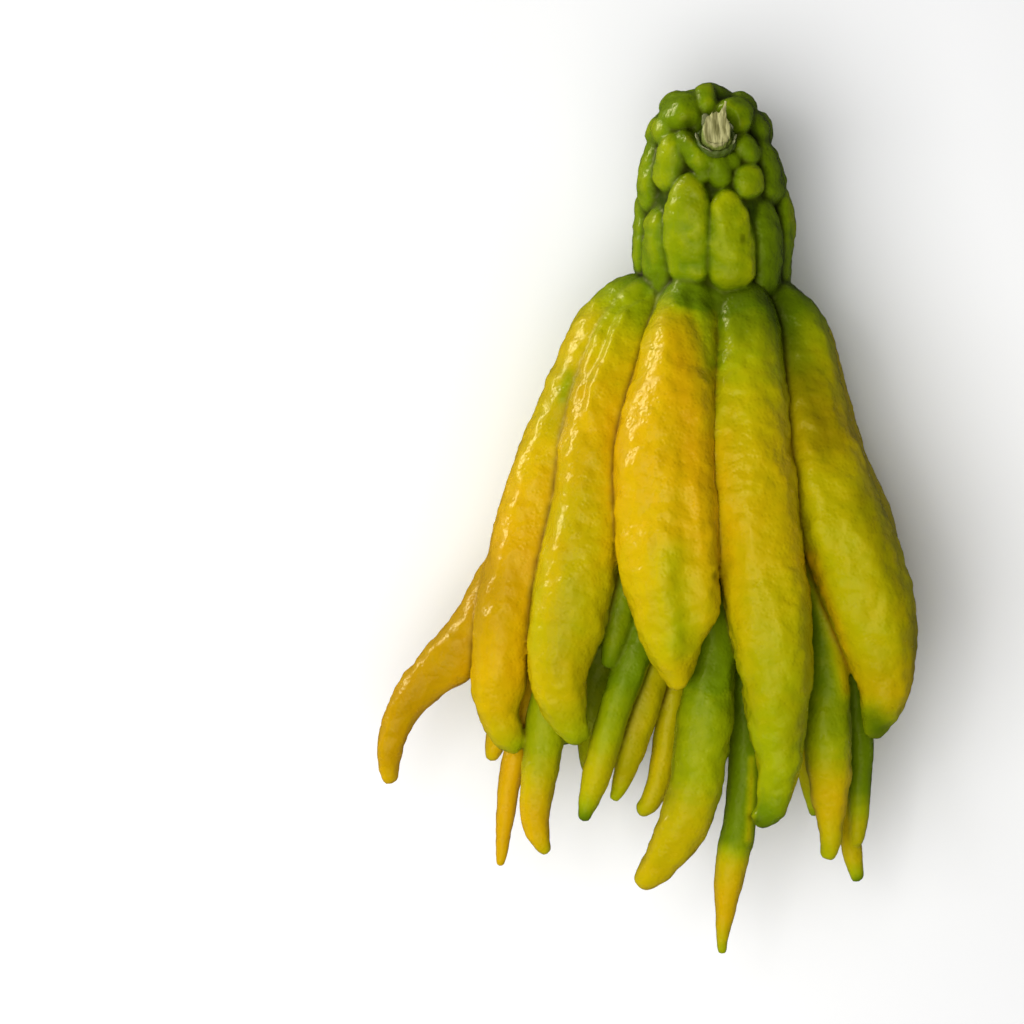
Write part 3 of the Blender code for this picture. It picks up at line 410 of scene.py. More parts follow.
class RindSettings(bpy.types.PropertyGroup):
    """The skin's fineness, relief, colours and gloss."""

    cell: bpy.props.FloatProperty(
        name="Skin cell", description="Cell of the grid that melts the fingers into one rind",
        default=0.62 * MM, min=0.5 * MM, **LENGTH)
    triangles: bpy.props.IntProperty(
        name="Triangles", description="Most triangles that the finished rind may have",
        default=195000, min=10000)
    swell: bpy.props.FloatProperty(
        name="Swell", description="Height of the broad swellings along a finger", default=2.4 * MM, **LENGTH)
    lump: bpy.props.FloatProperty(
        name="Lump height", description="Height of the lumps over the skin", default=1.25 * MM, **LENGTH)
    lump_width: bpy.props.FloatProperty(
        name="Lump width", description="Width of one lump", default=4.8 * MM, **LENGTH)
    wrinkle: bpy.props.FloatProperty(
        name="Wrinkle height", description="Height of the short wrinkles across a finger",
        default=0.42 * MM, **LENGTH)
    gland_width: bpy.props.FloatProperty(
        name="Gland width", description="Spacing of the oil glands in the skin", default=1.3 * MM, **LENGTH)
    gland_depth: bpy.props.FloatProperty(
        name="Gland depth", description="Depth of the pit over an oil gland", default=0.09 * MM, **LENGTH)
    crinkle: bpy.props.FloatProperty(
        name="Crinkle height", description="Height of the fine waves between the lumps",
        default=0.11 * MM, **LENGTH)
    gloss: bpy.props.FloatProperty(
        name="Roughness", description="Roughness of the waxy skin, 0 is a mirror",
        default=0.26, min=0.0, max=1.0, subtype="FACTOR")
    deep_green: bpy.props.FloatVectorProperty(
        name="Deep green", description="Colour of the least ripe skin",
        default=(0.014, 0.033, 0.001), **COLOUR)
    leaf_green: bpy.props.FloatVectorProperty(
        name="Leaf green", description="Colour of green skin", default=(0.130, 0.200, 0.001), **COLOUR)
    lime: bpy.props.FloatVectorProperty(
        name="Lime", description="Colour of turning skin", default=(0.298, 0.332, 0.001), **COLOUR)
    lemon: bpy.props.FloatVectorProperty(
        name="Lemon", description="Colour of yellow skin", default=(0.466, 0.361, 0.001), **COLOUR)
    gold: bpy.props.FloatVectorProperty(
        name="Gold", description="Colour of ripe skin", default=(0.563, 0.343, 0.001), **COLOUR)
    orange: bpy.props.FloatVectorProperty(
        name="Orange", description="Colour of the ripest skin", default=(0.528, 0.255, 0.001), **COLOUR)
    wax: bpy.props.FloatVectorProperty(
        name="Wax", description="Tint of the glints on the waxy skin", default=(1.0, 0.86, 0.38), **COLOUR)
    # Painted shade: the colour that the skin deep in the creases between the fingers is multiplied by.
    crease: bpy.props.FloatVectorProperty(
        name="Crease", description="What is left of the colour deep between two fingers",
        default=(0.27, 0.19, 0.02), **COLOUR)
    # Painted shade, and a few small dark spots: the colour that the skin is multiplied by where these are
    # fullest.
    dusk: bpy.props.FloatVectorProperty(
        name="Dusk", description="What is left of the colour where the skin is dullest",
        default=(0.36, 0.36, 0.30), **COLOUR)


class StalkSettings(bpy.types.PropertyGroup):
    """Sizes and colours of the calyx button and the cut stalk."""

    cell: bpy.props.FloatProperty(
        name="Fibre cell", description="Cell of the grid that the calyx and the stalk are made with",
        default=0.22 * MM, min=0.1 * MM, **LENGTH)
    calyx_colour: bpy.props.FloatVectorProperty(
        name="Calyx", description="Colour of the calyx button", default=(0.06, 0.09, 0.008), **COLOUR)
    dry_colour: bpy.props.FloatVectorProperty(
        name="Dry sepal", description="Colour of the dried sepal edges",
        default=(0.24, 0.24, 0.12), **COLOUR)
    wood_colour: bpy.props.FloatVectorProperty(
        name="Torn wood", description="Colour of the torn fibres", default=(0.56, 0.53, 0.24), **COLOUR)
    gap_colour: bpy.props.FloatVectorProperty(
        name="Fibre gaps", description="Colour between the torn fibres",
        default=(0.17, 0.16, 0.05), **COLOUR)
    bark_colour: bpy.props.FloatVectorProperty(
        name="Bark", description="Colour of the green bark round the stub",
        default=(0.16, 0.20, 0.03), **COLOUR)


class StageSettings(bpy.types.PropertyGroup):
    """Floor, light and camera."""

    floor_size: bpy.props.FloatProperty(
        name="Floor size", description="Side of the square floor", default=6.0, unit="LENGTH")
    floor_colour: bpy.props.FloatVectorProperty(
        name="Floor", description="Colour of the floor", default=(0.92, 0.92, 0.92), **COLOUR)
    key_power: bpy.props.FloatProperty(
        name="Key light", description="Power of the soft light from the left",
        default=13.0, unit="POWER")
    front_power: bpy.props.FloatProperty(
        name="Front light", description="Power of the wide light from the camera's side",
        default=12.2, unit="POWER")
    window_power: bpy.props.FloatProperty(
        name="Window light", description="Power of the low light that glints on the upper left",
        default=10.0, unit="POWER")
    spark_power: bpy.props.FloatProperty(
        name="Spark light", description="Power of the small light that sparkles on the waxy skin",
        default=0.45, unit="POWER")
    fill: bpy.props.FloatProperty(
        name="Fill", description="Strength of the even light from all round", default=0.03)
    camera_height: bpy.props.FloatProperty(
        name="Camera height", description="Height of the camera over the floor",
        default=1.5, unit="LENGTH")
    lens: bpy.props.FloatProperty(
        name="Lens", description="Focal length of the camera", default=175.8, unit="CAMERA")


# ---------------------------------------------------------------- modelling helpers

def deselect():
    bpy.ops.object.select_all(action="DESELECT")


def only(item):
    """Selects one object alone and makes it the active one."""
    deselect()
    item.select_set(True)
    bpy.context.view_layer.objects.active = item


def pick(item, wanted):
    """In edit mode, selects the vertices that the test accepts."""
    bm = bmesh.from_edit_mesh(item.data)
    for vert in bm.verts:
        vert.select = wanted(vert.co)
    bm.select_flush_mode()
    bmesh.update_edit_mesh(item.data)


def apply_modifier(item, name, kind, **values):
    """Adds a modifier, sets it up and applies it."""
    modifier = item.modifiers.new(name, kind)
    for key, value in values.items():
        setattr(modifier, key, value)
    bpy.ops.object.modifier_apply(modifier=modifier.name)


def settle_place():
    """Moves the selected object's place, turn and size into its mesh."""
    bpy.ops.object.transform_apply(location=True, rotation=True, scale=True)


def face_outwards():
    bpy.ops.object.mode_set(mode="EDIT")
    bpy.ops.mesh.select_all(action="SELECT")
    bpy.ops.mesh.normals_make_consistent(inside=False)
    bpy.ops.object.mode_set(mode="OBJECT")


def read_vectors(mesh, field):
    vectors = np.empty(len(mesh.vertices) * 3, dtype=np.float32)
    mesh.vertices.foreach_get(field, vectors)
    return vectors.reshape(-1, 3).astype(np.float64)


def read_points(mesh):
    return read_vectors(mesh, "co")


def read_normals(mesh):
    return read_vectors(mesh, "normal")


def write_points(mesh, points):
    mesh.vertices.foreach_set("co", points.astype(np.float32).ravel())
    mesh.update()


def read_layer(mesh, name):
    values = np.empty(len(mesh.vertices), dtype=np.float32)
    mesh.attributes[name].data.foreach_get("value", values)
    return values.astype(np.float64)


def write_layer(mesh, name, values):
    """Writes one number for each vertex to the named attribute, made if it isn't there."""
    layer = mesh.attributes.get(name) or mesh.attributes.new(name, "FLOAT", "POINT")
    layer.data.foreach_set("value", values.astype(np.float32))
    return layer


def paint(item, name, value):
    """Gives every vertex the same value of a named attribute, which becomes the active one."""
    mesh = item.data
    mesh.attributes.active = write_layer(mesh, name, np.full(len(mesh.vertices), value))


def fade(values, start, run):
    """0 up to the start, rising to 1 over the run."""
    return np.clip((values - start) / run, 0, 1)


def read_links(mesh):
    """The two vertices of each edge, as two lists."""
    ends = np.empty(len(mesh.edges) * 2, dtype=np.int32)
    mesh.edges.foreach_get("vertices", ends)
    return ends.reshape(-1, 2).T


def blur(mesh, values, rounds):
    """Averages values over each vertex's neighbours, a number of rounds."""
    first, second = read_links(mesh)
    values = values.reshape(len(mesh.vertices), -1)
    links = np.bincount(first, minlength=len(values)) + np.bincount(second, minlength=len(values))
    for _ in range(rounds):
        total = np.empty_like(values)
        for column in range(values.shape[1]):
            total[:, column] = (
                np.bincount(first, values[second, column], len(values))
                + np.bincount(second, values[first, column], len(values))
            )
        values = 0.5 * values + 0.5 * total / links[:, None]
    return values


def spread(mesh, values, known):
    """Fills in the values that aren't known from the known ones next to them, step by step."""
    first, second = read_links(mesh)
    values = np.where(known, values, 0.0)
    while not known.all():
        total = np.zeros(len(values))
        count = np.zeros(len(values))
        for here, there in ((first, second), (second, first)):
            total += np.bincount(here, values[there] * known[there], len(values))
            count += np.bincount(here, known[there], len(values))
        reached = ~known & (count > 0)
        if not reached.any():
            raise RuntimeError("a part of the mesh has no known value")
        values[reached] = total[reached] / count[reached]
        known = known | reached
    return values


def blended(stations, per_span):
    """Rows along a smooth curve through the stations, every number of a station blended alike."""
    rows = [Vector(row) for row in stations]
    ends = [rows[0] * 2 - rows[1]] + rows + [rows[-1] * 2 - rows[-2]]
    curve = []
    for before, start, stop, after in zip(ends, ends[1:], ends[2:], ends[3:]):
        for step in range(per_span):
            t = step / per_span
            curve.append(
                0.5 * (2 * start + (stop - before) * t
                       + (2 * before - 5 * start + 4 * stop - after) * t * t
                       + (3 * start - before - 3 * stop + after) * t ** 3)
            )
    return curve + [rows[-1]]


# ---------------------------------------------------------------- the fruit

def squared_ring(item):
    """Draws the ring's corners out, so that its section is a rounded square."""
    for step, reach in RING_BULGE.items():
        wanted_turn = 2 * math.pi * step / RING_SIDES

        def in_step(point, turn=wanted_turn):
            angle = abs(math.atan2(point.y, point.x)) % (math.pi / 2)
            return abs(angle - turn) < 0.01

        pick(item, in_step)
        bpy.ops.transform.resize(value=(reach, reach, 1), center_override=(0, 0, 0))


def turn_ring(turn, place):
    """Turns the selected ring about its own middle, one world axis after the other."""
    for axis, angle in zip("XYZ", turn.to_euler("XYZ")):
        if abs(angle) > LEAST_TURN:
            bpy.ops.transform.rotate(value=-angle, orient_axis=axis, center_override=place)


def grow_finger(name, stations):
    """A finger, extruded ring by ring from its root to its tip, each ring with its ripeness."""
    rings = blended(stations, RINGS_PER_STATION)
    places = [(Vector(ring[:3]) + FRAME_SHIFT) * MM for ring in rings]
    deselect()
    bpy.ops.mesh.primitive_circle_add(vertices=RING_SIDES, radius=MM, fill_type="NGON")
    finger = bpy.context.object
    finger.name = name
    stoutness = min(1.0, max(ring[3] for ring in rings) / STOUT_WIDTH)
    paint(finger, "stoutness", stoutness ** STOUT_POWER)
    paint(finger, "ripeness", rings[0][5])
    bpy.ops.object.mode_set(mode="EDIT")
    squared_ring(finger)
    bpy.ops.mesh.select_all(action="SELECT")
    bpy.ops.transform.translate(value=places[0])
    facing = Matrix.Identity(3)
    width = depth = 1.0
    for index, ring in enumerate(rings):
        place = places[index]
        if index:
            step = place - places[index - 1]
            bpy.ops.mesh.extrude_region_move(TRANSFORM_OT_translate={"value": step})
        along = places[min(index + 1, len(places) - 1)] - places[max(index - 1, 0)]
        along.normalize()
        side = along.cross(Vector((0, 0, 1))).normalized()
        rise = side.cross(along)
        new_facing = Matrix((side, rise, -along)).transposed()
        turn_ring(new_facing @ facing.inverted(), place)
        facing = new_facing
        new_width = max(ring[3], THINNEST) * ROUNDING + SKIN_ALLOWANCE
        new_depth = max(ring[4], THINNEST) * ROUNDING + SKIN_ALLOWANCE
        bpy.ops.transform.resize(
            value=(new_width / width, new_depth / depth, 1), orient_type="GLOBAL", orient_matrix=facing,
            orient_matrix_type="GLOBAL", center_override=place,
        )
        width, depth = new_width, new_depth
        bpy.ops.mesh.attribute_set(value_float=min(1.0, max(0.0, ring[5])))
    bpy.ops.object.mode_set(mode="OBJECT")
    face_outwards()
    apply_modifier(finger, "Round", "SUBSURF", levels=1, render_levels=1)
    return finger


def tucked(name, stations):
    """The finger's stations, widened where it reaches under a neighbour."""
    left, right, lowest = TUCKS.get(name, (0, 0, 0))
    rows = []
    for x, y, z, width, depth, ripeness in stations:
        share = min(1.0, max(0.0, (y - lowest) / TUCK_RUN))
        middle, half_width = x + (right - left) / 2 * share, width + (left + right) / 2 * share
        rows.append((middle, y, z, half_width, depth, ripeness))
    return rows


def knob_form(y):
    """The knob's middle x, radius and middle z at y."""
    for lower, upper in zip(KNOB_FORM, KNOB_FORM[1:]):
        if y <= upper[0]:
            t = max(0.0, (y - lower[0]) / (upper[0] - lower[0]))
            return [a + (b - a) * t for a, b in zip(lower[1:], upper[1:])]
    return KNOB_FORM[-1][1:]


def knob_core():
    """Stations of the core that the knob's lobes are set in."""
    return [
        (middle, y, height, radius - CORE_SINK, radius - CORE_SINK, CORE_RIPENESS)
        for y, middle, radius, height in KNOB_FORM
    ]


def knob_point(angle, y):
    """The middle of a lobe that sits at that angle and y."""
    middle, radius, height = knob_form(y)
    reach = max(radius - LOBE_SINK, 0.5)
    turn = math.radians(angle)
    return Vector((middle + reach * math.cos(turn), y, height + reach * math.sin(turn))) + FRAME_SHIFT


def knob_lobe(name, angle, y, half_length, half_width, slant, narrowing, ripeness):
    """A rounded pad lying along the knob's surface."""
    foot = knob_point(angle, y - half_length / 2)
    head = knob_point(angle, y + half_length / 2)
    along = (head - foot).normalized()
    turn = math.radians(angle)
    side = along.cross(Vector((math.cos(turn), 0, math.sin(turn)))).normalized()
    outward = side.cross(along)
    lean = Matrix.Rotation(math.radians(slant), 3, outward)
    facing = Matrix((lean @ side, -outward, lean @ along)).transposed()
    deselect()
    bpy.ops.mesh.primitive_uv_sphere_add(
        segments=20, ring_count=14, radius=MM, location=knob_point(angle, y) * MM,
        rotation=facing.to_euler(), scale=(half_width, min(LOBE_RISE, half_width), half_length),
    )
    lobe = bpy.context.object
    lobe.name = name
    apply_modifier(lobe, "Square", "CAST", cast_type="CUBOID", factor=LOBE_SQUARENESS)
    if narrowing:
        apply_modifier(lobe, "Pear", "SIMPLE_DEFORM", deform_method="TAPER", deform_axis="Z",
                       factor=-narrowing)
    settle_place()
    face_outwards()
    paint(lobe, "stoutness", LOBE_STOUTNESS)
    paint(lobe, "ripeness", ripeness)
    return lobe


def unite(bodies):
    """Unites the bodies into one closed solid, with no walls left inside it."""
    others = bpy.data.collections.new("others")
    for body in bodies[1:]:
        others.objects.link(body)
    solid = bodies[0]
    only(solid)
    apply_modifier(solid, "Unite", "BOOLEAN", operation="UNION", solver="MANIFOLD",
                   operand_type="COLLECTION", collection=others)
    for body in bodies[1:]:
        bpy.data.objects.remove(body, do_unlink=True)
    bpy.data.collections.remove(others)
    return solid


def fill_seams(rind):
    """Gives the seam points, which start at 0, the values of the skin next to them."""
    known = read_layer(rind.data, "stoutness") > 0
    for name in ("ripeness", "stoutness"):
        write_layer(rind.data, name, spread(rind.data, read_layer(rind.data, name), known))


def melt(piece, cell):
    """Remakes the active piece's skin with even cells, which rounds its seams."""
    piece.data.remesh_voxel_size = cell
    piece.data.use_remesh_preserve_attributes = True
    bpy.ops.object.voxel_remesh()


def drop_pockets(rind):
    """Keeps the outer skin alone and removes the walls of any pocket shut inside it."""
    bpy.ops.object.mode_set(mode="EDIT")
    bpy.ops.mesh.select_all(action="SELECT")
    bpy.ops.mesh.separate(type="LOOSE")
    bpy.ops.object.mode_set(mode="OBJECT")
    shells = sorted(bpy.context.selected_objects, key=lambda shell: len(shell.data.vertices))
    for pocket in shells[:-1]:
        bpy.data.objects.remove(pocket, do_unlink=True)
    only(shells[-1])
    return shells[-1]


def hollowness(mesh, width, cell):
    """How far each point lies under the skin around it, in millimetres; less than 0 on a crest."""
    points = read_points(mesh)
    rounds = round((width * MM / cell) ** 2)
    return ((blur(mesh, points, rounds) - points) * read_normals(mesh)).sum(axis=1) / MM


def weigh(item, name, weights):
    """Makes a named vertex group of the weights."""
    group = item.vertex_groups.new(name=name)
    for index, weight in enumerate(weights):
        group.add([index], weight, "REPLACE")
    return name


def smooth_creases(rind, skin):
    """Marks the creases and evens out the steps that the melting leaves along them."""
    mesh = rind.data
    sunk = hollowness(mesh, CREASE_WIDTH, skin.cell) / CREASE_DEPTH
    # The crease mark also sets the painted shade deep in the creases.
    write_layer(mesh, "crease", np.clip(blur(mesh, np.clip(sunk, 0, 2), rounds=2)[:, 0], 0, 1))
    near = blur(mesh, np.clip(sunk * 2, 0, 1), rounds=3)[:, 0]
    creases = weigh(rind, "creases", np.clip(near, 0, 1))
    apply_modifier(rind, "Even", "SMOOTH", factor=0.6, iterations=CREASE_ROUNDS, vertex_group=creases)


def roughen(piece, name, width, stretch, height, fineness, where=""):
    """Displaces a piece with clouds, stretched along the axes; fineness is how often they are divided."""
    grain = bpy.data.textures.new(name, "CLOUDS")
    grain.noise_scale = width
    grain.noise_depth = fineness
    guide = bpy.data.objects.new(name + "_guide", None)
    bpy.context.scene.collection.objects.link(guide)
    guide.scale = stretch
    bpy.context.view_layer.update()
    only(piece)
    apply_modifier(piece, name, "DISPLACE", texture=grain, texture_coords="OBJECT",
                   texture_coords_object=guide, strength=height, mid_level=0.5, vertex_group=where)
    bpy.data.objects.remove(guide, do_unlink=True)


def raise_relief(rind, skin):
    """Swellings, lumps and short cross wrinkles, less on what is slim."""
    mesh = rind.data
    open_skin = 1 - read_layer(mesh, "crease")
    stout = weigh(rind, "stout", blur(mesh, read_layer(mesh, "stoutness") * open_skin, rounds=6)[:, 0])
    roughen(rind, "Swell", SWELL_WIDTH * MM, (1, 1, 1), skin.swell, 1, stout)
    roughen(rind, "Lumps", skin.lump_width, (1, 1, 1), skin.lump, 1, stout)
    roughen(rind, "Wrinkles", skin.lump_width * WRINKLE_SHARE, (1, 0.5, 1), skin.wrinkle, 1, stout)


def stroke_weight(points, path, half_width):
    """How strongly a brush stroke along the path touches each point, seen from above."""
    nearest = np.full(len(points), np.inf)
    shift = np.array(FRAME_SHIFT[:2])
    corners = [(np.array(corner) + shift) * MM for corner in path]
    for start, stop in zip(corners, corners[1:]):
        run = stop - start
        share = np.clip(((points[:, :2] - start) @ run) / (run @ run), 0, 1)
        gap = np.linalg.norm(points[:, :2] - (start + share[:, None] * run), axis=1)
        nearest = np.minimum(nearest, gap)
    return np.exp(-(nearest / (half_width * MM)) ** 2)


def upper_skin(mesh, points):
    """1 on the skin that faces up over the fruit's upper half, 0 under it."""
    facing = np.clip(read_normals(mesh)[:, 2] * 2.5, 0, 1)
    return facing * fade(points[:, 2], UPPER_FROM * MM, UPPER_RUN * MM)


def draw_ridges(rind):
    """Lifts the ridges and presses in the grooves that run along the fingers."""
    points = read_points(rind.data)
    normals = read_normals(rind.data)
    upper = upper_skin(rind.data, points)
    for path, half_width, height in RIDGES:
        points += normals * (stroke_weight(points, path, half_width) * upper * height * MM)[:, None]
    write_points(rind.data, points)


def stalk_frame():
    """Turns +Z to the way the stalk points, from the bottom of its dimple."""
    base = Matrix.Translation((STALK_BASE + FRAME_SHIFT) * MM)
    return base @ Matrix.Rotation(STALK_LEAN - math.pi / 2, 4, "X")


def turned_solid(name, rings, sides):
    """A closed solid grown ring by ring up the Z axis."""
    deselect()
    bpy.ops.mesh.primitive_circle_add(vertices=sides, radius=rings[0][0] * MM, fill_type="NGON")
    solid = bpy.context.object
    solid.name = name
    bpy.ops.object.mode_set(mode="EDIT")
    bpy.ops.mesh.select_all(action="SELECT")
    bpy.ops.transform.translate(value=(0, 0, rings[0][1] * MM))
    for (radius, height), (next_radius, next_height) in zip(rings, rings[1:]):
        rise = (next_height - height) * MM
        bpy.ops.mesh.extrude_region_move(TRANSFORM_OT_translate={"value": (0, 0, rise)})
        share = next_radius / radius
        bpy.ops.transform.resize(value=(share, share, 1), center_override=(0, 0, next_height * MM))
    bpy.ops.object.mode_set(mode="OBJECT")
    return solid


def slant_cut(stalk):
    """Leans the stalk's last ring, which is still selected, so that the cut faces up."""
    middle = (0, 0, STALK_RINGS[-1][1] * MM)
    only(stalk)
    bpy.ops.object.mode_set(mode="EDIT")
    bpy.ops.transform.rotate(value=-CUT_RISE, orient_axis="X", center_override=middle)
    stretch = 1 / math.cos(CUT_RISE)
    bpy.ops.transform.resize(value=(1, stretch, stretch), center_override=middle)
    bpy.ops.object.mode_set(mode="OBJECT")


def splinter(foot, tip, low, high, half_width):
    """A flat torn fibre bundle, wide at its foot and pointed at its tip."""
    start, stop = Vector((*foot, low)) * MM, Vector((*tip, high)) * MM
    deselect()
    bpy.ops.mesh.primitive_cone_add(
        vertices=10, radius1=half_width * MM, radius2=0.12 * half_width * MM, depth=(stop - start).length,
        location=(start + stop) / 2, rotation=(stop - start).to_track_quat("Z", "Y").to_euler(),
        scale=(1, 0.5, 1),
    )
    settle_place()
    return bpy.context.object


def sepal(angle, half_width, half_height, lean):
    """A dried papery flap that stands on the calyx's rim."""
    turn = math.radians(angle)
    height = RIM_HEIGHT + half_height * 0.6
    place = Vector((RIM_RADIUS * math.cos(turn), RIM_RADIUS * math.sin(turn), height)) * MM
    facing = Matrix.Rotation(turn, 3, "Z") @ Matrix.Rotation(math.radians(lean), 3, "Y")
    deselect()
    bpy.ops.mesh.primitive_uv_sphere_add(
        segments=16, ring_count=12, radius=MM, location=place, rotation=facing.to_euler(),
        scale=(SEPAL_THICKNESS, half_width, half_height),
    )
    settle_place()
    return bpy.context.object


def seat(piece):
    """Stands a piece that was made along Z on the stalk's seat."""
    only(piece)
    spot = stalk_frame()
    piece.location, piece.rotation_euler = spot.to_translation(), spot.to_euler()
    settle_place()


def stalk_places(piece):
    """The piece's points in the stalk's own frame."""
    to_stalk = np.array(stalk_frame().inverted())
    return read_points(piece.data) @ to_stalk[:3, :3].T + to_stalk[:3, 3]


def press_dimple(rind):
    """Presses the skin round the stalk down into a smooth dimple."""
    local = stalk_places(rind)
    reach = np.linalg.norm(local[:, :2], axis=1) / MM
    radii, levels = zip(*DIMPLE)
    limit = np.interp(reach, radii, levels, right=1e3) * MM
    softness = DIMPLE_SOFTNESS * MM
    local[:, 2] -= softness * np.logaddexp(0, (local[:, 2] - limit) / softness)
    back = np.array(stalk_frame())
    write_points(rind.data, local @ back[:3, :3].T + back[:3, 3])


def flatten_base(rind):
    """Presses true flats where the back fingers lie on the surface."""
    only(rind)
    bpy.ops.object.mode_set(mode="EDIT")
    bpy.ops.mesh.select_mode(type="VERT")
    pick(rind, lambda point: point.z < 0)
    bpy.ops.transform.resize(value=(1, 1, 0), center_override=(0, 0, 0))
    bpy.ops.object.mode_set(mode="OBJECT")


def thin_mesh(rind, wanted):
    """Thins the mesh to the wanted number of triangles, most of all underneath and low down."""
    mesh = rind.data
    facing = np.clip(read_normals(mesh)[:, 2] * 2 + 1.2, 0, 1)
    seen = facing * fade(read_points(mesh)[:, 2], SEEN_FROM * MM, SEEN_RUN * MM)
    spare = weigh(rind, "spare", 1 - SEEN_SPARED * seen)
    triangles = 2 * len(mesh.polygons)
    apply_modifier(rind, "Thin", "DECIMATE", ratio=min(1.0, wanted / triangles),
                   vertex_group=spare, vertex_group_factor=0.5)


def paint_skin(rind, skin):
    """Blends the ripeness over the skin, adds the colour strokes, the painted shade strokes and small dark
    spots, and paints shade into the knob's hollows, greener and darker, and light onto its crests.
    """
    mesh = rind.data
    points = read_points(mesh)
    ripeness = blur(mesh, read_layer(mesh, "ripeness"), rounds=5)[:, 0]
    upper = upper_skin(mesh, points)
    for path, half_width, change in TINTS:
        ripeness += stroke_weight(points, path, half_width) * upper * change
    # Painted shade along the strokes, and a few small dark spots.
    dusk = np.zeros(len(points))
    for path, half_width, amount in SHADE_AND_SPOT_STROKES:
        dusk = np.maximum(dusk, stroke_weight(points, path, half_width) * upper * amount)
    # Painted shade in the knob's hollows, greener and darker, and painted light on its crests.
    knob = fade(points[:, 1], KNOB_FROM * MM, KNOB_RUN * MM)
    hollow = knob * hollowness(mesh, LOBE_WIDTH, skin.cell)
    ripeness -= np.clip(hollow, KNOB_CREST, KNOB_HOLLOW) * KNOB_SHADE_GREENING
    write_layer(mesh, "dusk", np.maximum(dusk, np.clip(hollow * KNOB_HOLLOW_SHADE, 0, DARKEST_HOLLOW_SHADE)))
    write_layer(mesh, "ripeness", np.clip(ripeness, 0, 1))


# ---------------------------------------------------------------- shader helpers

def set_inputs(tree, node, inputs):
    """Sets a node's inputs; a value may be a socket to link from."""
    for key, value in inputs.items():
        if isinstance(value, bpy.types.NodeSocket):
            tree.links.new(value, node.inputs[key])
        else:
            node.inputs[key].default_value = value


def add_node(tree, kind, inputs=None, **values):
    """A shader node with its properties and inputs set."""
    node = tree.nodes.new(kind)
    for key, value in values.items():
        setattr(node, key, value)
    set_inputs(tree, node, inputs or {})
    return node


def new_material(name):
    """A material with a plain Principled shader, and the object coordinates to wire it to."""
    material = bpy.data.materials.new(name)
    material.use_nodes = True
    tree = material.node_tree
    place = add_node(tree, "ShaderNodeTexCoord").outputs["Object"]
    return material, tree, tree.nodes["Principled BSDF"], place


def maths(tree, operation, first, second=0.0, clamp=False):
    node = add_node(tree, "ShaderNodeMath", {0: first, 1: second}, operation=operation, use_clamp=clamp)
    return node.outputs[0]


def blend(tree, factor, first, second, mode="MIX"):
    """One colour blended over another."""
    first, second = (value if isinstance(value, bpy.types.NodeSocket) else (*value, 1.0)
                     for value in (first, second))
    node = add_node(tree, "ShaderNodeMix", {0: factor, 6: first, 7: second}, data_type="RGBA",
                    blend_type=mode, clamp_factor=True)
    return node.outputs[2]


def ramp(tree, value, stops):
    """A colour ramp: (position, colour) stops."""
    node = add_node(tree, "ShaderNodeValToRGB", {"Fac": value})
    band = node.color_ramp
    while len(band.elements) < len(stops):
        band.elements.new(0.5)
    for element, (position, colour) in zip(band.elements, stops):
        element.position = position
        element.color = (*colour, 1.0)
    return node.outputs["Color"]


def painted(tree, name):
    """What the piece's own attribute of that name holds."""
    return add_node(tree, "ShaderNodeAttribute", attribute_name=name).outputs["Fac"]


def bump(tree, height, distance, **more):
    """The normal of a surface raised by the height, a socket, times the distance."""
    inputs = {"Height": height, "Distance": distance, **more}
    return add_node(tree, "ShaderNodeBump", inputs).outputs["Normal"]


def new_group(name, sockets_in, sockets_out):
    """A shader node group with its named sockets and its two ends; it puts out floats."""
    group = bpy.data.node_groups.new(name, "ShaderNodeTree")
    for label, kind, default in sockets_in:
        socket = group.interface.new_socket(name=label, in_out="INPUT", socket_type=kind)
        if default is not None:
            socket.default_value = default
    for label in sockets_out:
        group.interface.new_socket(name=label, in_out="OUTPUT", socket_type="NodeSocketFloat")
    return group, group.nodes.new("NodeGroupInput"), group.nodes.new("NodeGroupOutput")


def mottle_group():
    """Cloudy variation round zero."""
    group, start, end = new_group(
        "mottle",
        [("Vector", "NodeSocketVector", None), ("Scale", "NodeSocketFloat", 100.0),
         ("Amount", "NodeSocketFloat", 0.1)],
        ["Value"],
    )
    coarse = add_node(group, "ShaderNodeTexNoise", {
        "Vector": start.outputs["Vector"], "Scale": start.outputs["Scale"], "Detail": 2.0, "Roughness": 0.45,
    })
    centred = maths(group, "SUBTRACT", coarse.outputs[0], 0.5)
    doubled = maths(group, "MULTIPLY", centred, 2.0)
    set_inputs(group, end, {"Value": maths(group, "MULTIPLY", doubled, start.outputs["Amount"])})
    return group


def glands_group():
    """Oil glands: shallow round pits of uneven size, as a height from 0 to 1 and a mask of the pits."""
    group, start, end = new_group(
        "glands",
        [("Vector", "NodeSocketVector", None), ("Scale", "NodeSocketFloat", 1000.0)],
        ["Height", "Pit"],
    )
    patches = add_node(group, "ShaderNodeTexNoise", {
        "Vector": start.outputs["Vector"], "Scale": GLAND_PATCHES, "Detail": 2.0})
    patchy = maths(group, "MULTIPLY", patches.outputs[0], 1.6, clamp=True)
    cells = add_node(group, "ShaderNodeTexVoronoi", {
        "Vector": start.outputs["Vector"], "Scale": start.outputs["Scale"], "Smoothness": 0.5,
    }, feature="SMOOTH_F1")
    bowl = add_node(group, "ShaderNodeMapRange", {
        "Value": cells.outputs["Distance"], "From Min": 0.1, "From Max": 0.55})
    pit = maths(group, "MULTIPLY", maths(group, "SUBTRACT", 1.0, bowl.outputs[0]), patchy)
    set_inputs(group, end, {"Height": maths(group, "SUBTRACT", 1.0, pit), "Pit": pit})
    return group


